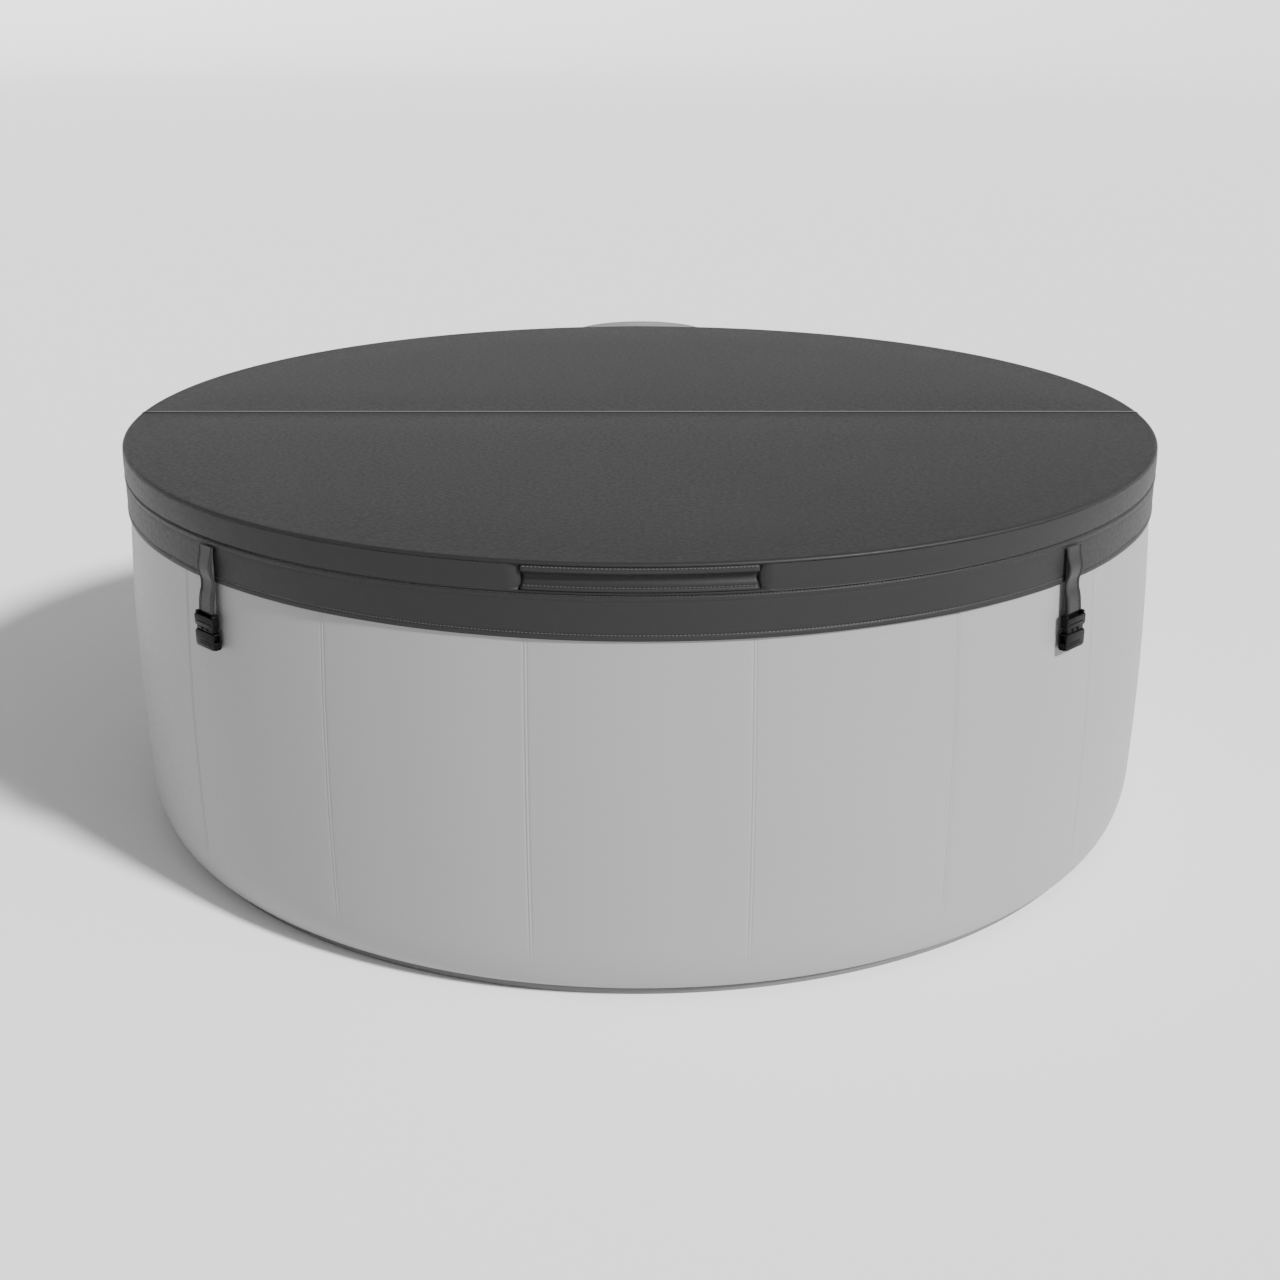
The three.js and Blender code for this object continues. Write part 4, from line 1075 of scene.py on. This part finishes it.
def filter_cage():
    """The filter's dished cap and its cage of hoops and bars, with raised rings on its face."""
    dish = [(0, 0), (48, 0), (56, 1.2), (59.4, 4.4), (60, 8), (60, 17), (57.2, 17), (57.2, 5), (0, 5)]
    parts = [lathe(mm(dish), 96), hoop(57.2, 60, 72, 89.6)]
    parts += [hoop(57.3, 59.8, h, h + 2.4) for h in (29, 43, 57)]
    bars = 24
    for i in range(bars):
        turn = Matrix.Rotation(2 * math.pi * i / bars, 4, "Z")
        verts, faces = bar(57.3 * MM, 60 * MM, 1.6 * MM, 15 * MM, 74 * MM)
        parts.append(([turn @ v for v in verts], faces))
    for r in (16, 30, 44):
        parts.append(lathe(mm([(r - 1.4, -0.9), (r + 1.4, -0.9), (r + 2.2, 0.3), (r - 2.2, 0.3)]), 72))
    return joined(*parts)


def outlet_grille():
    """A ring with level bars set back in a shallow dome."""
    radius, pitch = 34.0, 7.4
    parts = [lathe(mm([(30, 20), (32, 9.5), (35, 8.2), (37.2, 9.8), (38, 20)]), 72)]
    for k in range(-4, 5):
        half = math.sqrt(max(0.0, radius ** 2 - (k * pitch) ** 2)) * MM
        back = abs(k) * 1.6 * MM
        verts, faces = bar(-half, half, 2.0 * MM, 1.2 * MM + back, 5 * MM + back)
        parts.append(([v + Vector((0, k * pitch * MM, 0)) for v in verts], faces))
    return joined(*parts)


def make_filter():
    line = [(26.3, 0), (52.6, 0), (52.8, 1), (52.8, 3.9), (51.8, 4.1), (51.8, 25), (51.8, 50),
            (51.8, 73.9), (52.8, 74.1), (52.8, 77), (52.6, 78), (26.3, 78)]
    pleats = placed(lathe(mm(line), 264, pleated), (INLET_X, PLEATS_Y, PORT_Z), REARWARD)
    piece("filter_pleats", *pleats, PAPER, "filter_body", ["filter_cartridge"], "filter_paper")
    cage = placed(filter_cage(), (INLET_X, CAGE_Y, PORT_Z), REARWARD)
    piece("filter_cage", *cage, SHELL, "filter_cap_body", ["filter_cap"], "pale_shell")
    grille = placed(outlet_grille(), (OUTLET_X, SCREEN_Y, PORT_Z), REARWARD)
    piece("outlet_grille", *grille, SHELL, "tub", ["outlet_screen"], "pale_shell")


def bar(x0, x1, half_y, z0, z1):
    verts = [Vector((x, y, z)) for x in (x0, x1) for y in (-half_y, half_y) for z in (z0, z1)]
    faces = [(0, 1, 3, 2), (4, 6, 7, 5), (0, 4, 5, 1), (2, 3, 7, 6), (0, 2, 6, 4), (1, 5, 7, 3)]
    return verts, faces


def make_air_valve():
    face = spot(wall_radius(VALVE_Z) + 1 * MM, VALVE_BEARING, VALVE_Z)
    out = spot(1, VALVE_BEARING, 0)
    line = [(11, -30), (20, -30), (20, 0.2), (30, 0.2), (32, 1.2), (31.6, 3), (28, 4), (11, 4)]
    seat = placed(lathe(mm(line), 72), face, out)
    piece("air_valve_seat", *seat, FITTING, "tub", ["air_valve"], "grey_fitting")
    line = [(0, 4.6), (22.6, 4.6), (24, 5.6), (24, 13), (22.6, 15), (19, 16.4), (14, 17), (12, 16.2),
            (7, 16.2), (5.4, 17), (0, 17)]
    cap = placed(lathe(mm(line), 144, knurl(18, 1.8, 22)), face, out)
    piece("air_valve_knob", *cap, SHELL, "air_valve_cap_body", ["air_valve_cap"], "pale_shell")


def make_drain():
    """The drain's tube and screw cap: their outlines run out from the tub's middle."""
    middle, out = spot(0, DRAIN_BEARING, DRAIN_Z), spot(1, DRAIN_BEARING, 0)
    line = [(10, 790), (22.6, 790), (24, 791.2), (23.4, 795.6), (14, 796), (14, 1027), (23, 1027.2),
            (24, 1028.2), (23.4, 1030.8), (16, 1031), (16, 1046), (10, 1046)]
    spout = placed(lathe(mm(line), 60), middle, out)
    piece("drain_spout", *spout, FITTING, "tub", ["drain_valve"], "grey_fitting")
    line = [(0, 1046.5), (16.5, 1046.5), (16.5, 1031.6), (21.2, 1031.6), (22, 1032.6), (22, 1047.2),
            (21, 1049.4), (18.6, 1050.4), (9, 1050.4), (8, 1049.6), (0, 1049.6)]
    cap = placed(lathe(mm(line), 144, knurl(16, 1.4, 21)), middle, out)
    piece("drain_knob", *cap, DARK, "drain_cap_body", ["drain_cap"], "dark_shell")


# ---- pump and heater unit -----------------------------------------------------------------

UNIT_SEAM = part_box("unit_top")[0].z
UNIT_SHELL_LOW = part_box("unit_housing")[0].z
UNIT_GROOVES = (118 * MM, 600 * MM)
SPIGOT_Y = 1050.5 * MM
LOUVRE_HALF = 24
LOUVRE_THICK = 1.6 * MM
PANEL_LOW, PANEL_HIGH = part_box("control_panel")
PANEL_Y = (PANEL_LOW.y + PANEL_HIGH.y) / 2
PANEL_HALF_Y = (PANEL_HIGH.y - PANEL_LOW.y) / 2
PANEL_FACE = PANEL_HIGH.z - 1.6 * MM
DISPLAY_Y = PANEL_Y + 18 * MM
BUTTONS = ("power_button", "heat_button", "filter_button", "bubble_button")
# Which bars of a figure are lit: top, upper left, upper right, middle, lower left, lower right, bottom.
SEGMENTS = {3: (1, 0, 1, 1, 0, 1, 1), 8: (1, 1, 1, 1, 1, 1, 1)}
SEGMENT_ENDS = ((-0.8, 1, 0.8, 1), (-1, 0.85, -1, 0.15), (1, 0.85, 1, 0.15), (-0.8, 0, 0.8, 0),
                (-1, -0.15, -1, -0.85), (1, -0.15, 1, -0.85), (-0.8, -1, 0.8, -1))


def unit_spot(r, bearing, z):
    return spot(r, bearing, z) + Vector((0, UNIT_Y, 0))


def shell_radius(z):
    return UNIT_FOOT_R + (UNIT_TOP_R - UNIT_FOOT_R) * (z - UNIT_SHELL_LOW) / (UNIT_SEAM - UNIT_SHELL_LOW)


def shell_face(z, low, high):
    """The shell's outer radius, with its two grooves and eased ends."""
    r = shell_radius(z) - 0.3 * MM
    for groove in UNIT_GROOVES:
        r -= 1.8 * MM * math.exp(-(((z - groove) / (1.6 * MM)) ** 2))
    return r - 1.2 * MM * (1 - ramp(min(z - low, high - z), 0, 3 * MM))


def spigot(x, z, radius, bore, end):
    """A hose spigot with a flared end, its sizes in millimetres."""
    line = [(bore, 0), (radius - 1, 0), (radius, 1), (radius, end - 15), (radius + 4, end - 11),
            (radius + 7, end - 3.6), (radius + 7, end), (bore, end)]
    return placed(lathe(mm(line), 48), (x, SPIGOT_Y, z), REARWARD)


def make_unit_shell():
    """The unit's body: a tapered shell with two grooves and three spigots."""
    low, high = UNIT_SHELL_LOW, UNIT_SEAM - 0.6 * MM
    heights = {low, low + 1.2 * MM, low + 4 * MM, high - 4 * MM, high - 1.2 * MM, high}
    heights |= {low + (high - low) * k / 40 for k in range(1, 40)}
    heights |= {groove + d * MM for groove in UNIT_GROOVES for d in (-3, -2, 0, 2, 3)}
    outer = [(shell_face(z, low, high), z) for z in sorted(heights)]
    inner = [(shell_radius(z) - 3 * MM, z) for z in sorted(heights, reverse=True)]
    verts, faces = lathe(outer + inner, 160)
    parts = [([v + Vector((0, UNIT_Y, 0)) for v in verts], faces)]
    parts += [spigot(x, PORT_Z, 24, 19, 37.5) for x in (INLET_X, OUTLET_X)]
    parts.append(spigot(0, AIR_Z, 12, 9, 31.5))
    piece("unit_shell", *joined(*parts), SHELL, "tub", ["unit_housing"], "pale_shell")


def louvre(bearing, z):
    """One sloping louvre blade, curved with the shell."""
    back = shell_radius(z) - 2.5 * MM
    rows = []
    steps = 18
    for i in range(steps + 1):
        u = 2 * i / steps - 1
        lip = shell_radius(z) - 0.3 * MM + 3.4 * MM * (1 - abs(u) ** 8)
        section = [(back, z + 3.5 * MM), (lip, z - 3 * MM), (lip, z - 3 * MM - LOUVRE_THICK),
                   (back, z - 3.5 * MM)]
        rows.append([unit_spot(r, bearing + LOUVRE_HALF * u, h) for r, h in section])
    return solid(rows)


def make_louvres():
    blades = [louvre(bearing, 0.36 + k * 14 * MM) for bearing in (90, 180, 270) for k in range(12)]
    piece("unit_louvres", *joined(*blades), DARK, "tub", slot="dark_shell")


def make_unit_foot():
    """The foot: a ribbed plinth that stands on a narrow ring."""
    height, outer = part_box("unit_base")[1].z / MM, UNIT_FOOT_R / MM

    def ribs(a, r, h):
        if r < (outer - 1) * MM or not 9 * MM < h < 34 * MM:
            return r
        return r - 1.6 * MM * (0.5 + 0.5 * math.cos(72 * a)) ** 4

    line = [(0, 3), (outer - 16, 3), (outer - 16, 0), (outer - 5, 0), (outer - 2, 2), (outer - 0.4, 6),
            (outer, 9), (outer, 10), (outer, 22), (outer, 33), (outer, 35), (outer - 1, height - 1.4),
            (outer - 4, height), (outer - 7, height), (outer - 7, 10), (0, 10)]
    verts, faces = lathe(mm(line), 288, ribs)
    verts = [v + Vector((0, UNIT_Y, 0)) for v in verts]
    piece("unit_plinth", verts, faces, DARK, "tub", ["unit_base"], "dark_shell")


def make_unit_lid():
    """The rounded lid, its edge seam, and the recess for the panel, as one closed skin."""
    top, recess = UNIT_HIGH.z, PANEL_LOW.z - 0.4 * MM
    edge = 14 * MM
    groove = UNIT_TOP_R - edge - 6 * MM
    inside = UNIT_TOP_R - 4 * MM
    line = [(UNIT_TOP_R - edge, recess - 3 * MM), (inside, recess - 10 * MM), (inside, UNIT_SEAM + 1 * MM),
            (inside, UNIT_SEAM), (UNIT_TOP_R - 1 * MM, UNIT_SEAM), (UNIT_TOP_R, UNIT_SEAM + 1 * MM),
            (UNIT_TOP_R, UNIT_SEAM + 12 * MM), (UNIT_TOP_R, top - edge - 8 * MM)]
    line += arc(UNIT_TOP_R - edge, top - edge, edge, edge, 0, 90, 10)
    line += [(groove + 1.6 * MM, top), (groove + 0.6 * MM, top - 1.2 * MM),
             (groove - 0.6 * MM, top - 1.2 * MM), (groove - 1.6 * MM, top)]
    bearings = range(0, 360, 2)
    rings = [[unit_spot(r, b, z) for b in bearings] for r, z in line]
    window = [window_point(b, PANEL_HIGH.x + 0.8 * MM, PANEL_HALF_Y + 0.8 * MM, 10 * MM) for b in bearings]
    rings += [[Vector((w.x, PANEL_Y + w.y, z)) for w in window] for z in (top, recess)]
    piece("unit_lid", *solid(rings), SHELL, "tub", ["unit_top"], "pale_shell")


def window_point(bearing, half_x, half_y, corner):
    """Where a line from the middle at a bearing meets a rectangle with round corners."""
    a = math.radians(bearing)
    d = Vector((math.sin(a), -math.cos(a)))
    point = d * min(half_x / max(abs(d.x), 1e-9), half_y / max(abs(d.y), 1e-9))
    inner_x, inner_y = half_x - corner, half_y - corner
    if abs(point.x) > inner_x and abs(point.y) > inner_y:
        centre = Vector((math.copysign(inner_x, d.x), math.copysign(inner_y, d.y)))
        along = d * centre.dot(d)
        point = along + d * math.sqrt(max(0.0, corner ** 2 - (centre - along).length_squared))
    return point


def flat_plate(half_x, half_y, corner, z0, z1, centre, bevel=0.8 * MM):
    """A level plate with round corners and eased edges."""
    rings = []
    levels = ((z0, bevel), (z0 + bevel, 0), (z1 - bevel, 0), (z1 - bevel * 0.3, bevel * 0.4), (z1, bevel))
    for z, inset in levels:
        loop = rounded_loop(half_x - inset, half_y - inset, max(corner - inset, 0.1 * MM), 6)
        rings.append([Vector((centre[0] + x, centre[1] + y, z)) for x, y in loop])
    return solid(rings)


def ring_plate(x, y, z, r, thick, lift, start=0, end=360):
    """A flat ring or arc, as used for the printed marks."""
    steps = max(8, int(abs(end - start) / 9))
    near, far = r - thick / 2, r + thick / 2
    section = ((near, z), (far, z), (far, z + lift), (near, z + lift))
    rows = []
    for i in range(steps + 1):
        a = math.radians(start + (end - start) * i / steps)
        rows.append([Vector((x + q * math.sin(a), y + q * math.cos(a), h)) for q, h in section])
    return solid(rows)


def stroke(points, z, thick, lift):
    """A flat line through points, as short bars."""
    parts = []
    for (x0, y0), (x1, y1) in zip(points, points[1:]):
        along = Vector((x1 - x0, y1 - y0, 0))
        half = along.length / 2 + thick * 0.3
        verts, faces = bar(-half, half, thick / 2, 0, lift)
        turn = Matrix.Rotation(math.atan2(along.y, along.x), 4, "Z")
        middle = Vector(((x0 + x1) / 2, (y0 + y1) / 2, z))
        parts.append(([turn @ v + middle for v in verts], faces))
    return joined(*parts)


def button_mark(name, x, y, z):
    """A plain pictogram for each button: power, warmth, filter and bubbles."""
    t, lift = 0.9 * MM, 0.25 * MM
    if name == "power_button":
        return joined(ring_plate(x, y, z, 4.2 * MM, t, lift, 40, 320),
                      stroke([(x, y + 1.4 * MM), (x, y + 5.4 * MM)], z, t, lift))
    if name == "heat_button":
        waves = []
        for dx in (-3.4, 0, 3.4):
            wave = [(dx + 0.8 * math.sin(k * 1.2), -4.4 + k * 1.1) for k in range(9)]
            waves.append(stroke([(x + u * MM, y + v * MM) for u, v in wave], z, t, lift))
        return joined(*waves)
    if name == "filter_button":
        return joined(*[stroke([(x - w * MM, y + h * MM), (x + w * MM, y + h * MM)], z, t, lift)
                        for w, h in ((4.6, 3.4), (3.4, 1.1), (2.2, -1.2), (1.0, -3.5))])
    return joined(*[ring_plate(x + dx * MM, y + dy * MM, z, r * MM, t, lift)
                    for dx, dy, r in ((-2.4, -1.8, 2.4), (2.8, -0.4, 1.8), (-0.2, 3.4, 1.5))])


def panel_rib():
    """The raised rib round the panel's edge."""
    low, high = PANEL_FACE - 0.5 * MM, PANEL_HIGH.z - 0.2 * MM
    section = ((-1, low), (1, low), (0.6, high), (-0.6, high))
    rings = []
    for bearing in range(0, 360, 3):
        point = window_point(bearing, PANEL_HIGH.x - 2.2 * MM, PANEL_HALF_Y - 2.2 * MM, 8 * MM)
        out = point.normalized() * 1.5 * MM
        corners = [(point + out * share, z) for share, z in section]
        rings.append([Vector((place.x, PANEL_Y + place.y, z)) for place, z in corners])
    return solid(rings, closed_turn=True)


def display_marks():
    """Two figures, a degree ring and a rising level bar."""
    z, lift = PANEL_FACE + 0.75 * MM, 0.2 * MM
    marks = []
    for figure, middle in ((3, -14), (8, 0)):
        for lit, (x0, y0, x1, y1) in zip(SEGMENTS[figure], SEGMENT_ENDS):
            if lit:
                ends = [((middle + x * 4) * MM, DISPLAY_Y + y * 7 * MM) for x, y in ((x0, y0), (x1, y1))]
                marks.append(stroke(ends, z, 1.3 * MM, lift))
    marks.append(ring_plate(10 * MM, DISPLAY_Y + 6 * MM, z, 1.6 * MM, 0.8 * MM, lift))
    foot = DISPLAY_Y - 6 * MM
    for k in range(5):
        x = (20 + k * 4.6) * MM
        marks.append(stroke([(x, foot), (x, foot + (2 + 2 * k) * MM)], z, 2.6 * MM, lift))
    return joined(*marks)


def make_panel():
    """The control panel: a dark bezel with a ring for each button, and a glass display."""
    half_x, half_y = PANEL_HIGH.x - 0.2 * MM, PANEL_HALF_Y - 0.2 * MM
    bezel = [flat_plate(half_x, half_y, 9 * MM, PANEL_LOW.z, PANEL_FACE, (0, PANEL_Y)), panel_rib()]
    for name in BUTTONS:
        low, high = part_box(name)
        x, y = (low.x + high.x) / 2, (low.y + high.y) / 2
        bezel.append(ring_plate(x, y, PANEL_FACE - 0.3 * MM, 12.4 * MM, 2.2 * MM, 1.3 * MM))
    piece("panel_bezel", *joined(*bezel), DARK, "tub", ["control_panel"], "dark_shell")
    glass_low, glass_high = PANEL_FACE - 0.5 * MM, PANEL_FACE + 0.8 * MM
    glass = flat_plate(48 * MM, 13 * MM, 4 * MM, glass_low, glass_high, (0, DISPLAY_Y), 0.4 * MM)
    piece("panel_glass", *glass, GLASS, "tub", slot="dark_shell")
    piece("panel_figures", *display_marks(), GLOW, "tub", slot="button_plastic")


def make_buttons():
    for name in BUTTONS:
        low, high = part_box(name)
        x, y = (low.x + high.x) / 2, (low.y + high.y) / 2
        r, h = (high.x - low.x) / 2 / MM, (high.z - low.z) / MM
        line = [(0, 0), (r - 0.4, 0), (r, 0.4), (r, h - 1.4), (r - 0.5, h - 0.5), (r - 1.6, h),
                (r * 0.6, h - 0.25), (0, h - 0.35)]
        verts, faces = placed(lathe(mm(line), 48), (x, y, low.z), (0, 0, 1))
        body = name + "_body"
        piece(name + "_cap", verts, faces, BUTTON, body, [name], "button_plastic")
        mark = button_mark(name, x, y, high.z - 0.3 * MM)
        piece(name + "_mark", *mark, DARK, body, slot="dark_shell")


def make_gland():
    low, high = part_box("cable_gland")
    line = [(4, 0), (9, 0), (9, 14), (13.4, 14), (14, 14.8), (14, 19.6), (13, 20.4), (10, 21), (9.2, 24),
            (8, 27), (6.6, 28), (4, 28)]
    gland = placed(lathe(mm(line), 72, knurl(6, 1.4, 13)), (0, low.y, (low.z + high.z) / 2), REARWARD)
    piece("cord_gland", *gland, DARK, "tub", ["cable_gland"], "dark_shell")


def make_unit():
    make_unit_shell()
    make_louvres()
    make_unit_foot()
    make_unit_lid()
    make_panel()
    make_buttons()
    make_gland()


# ---- the machinery and other parts that keep their plain shape ----------------------------

KEPT = {
    "ground_sheet": BAND, "beam_webs": PALE, "air_port": FITTING, "pump_housing": DARK, "pump_motor": METAL,
    "pump_impeller": FITTING, "heater_tube": METAL, "blower_housing": DARK, "blower_fan": FITTING,
}


def paint_kept_nodes():
    for name, paint in KEPT.items():
        for material_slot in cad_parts[name].material_slots:
            material_slot.material = paint


make_camera()
make_floor()
make_lights()
make_outer_wall()
make_foot_band()
make_inner_wall()
make_rim_band()
make_floor_pad()
make_bubble_ring()
make_wall_fittings()
make_filter()
make_air_valve()
make_drain()
make_cover()
for strap_place, strap_bearing in STRAPS.items():
    make_strap(strap_place, strap_bearing)
make_unit()
paint_kept_nodes()
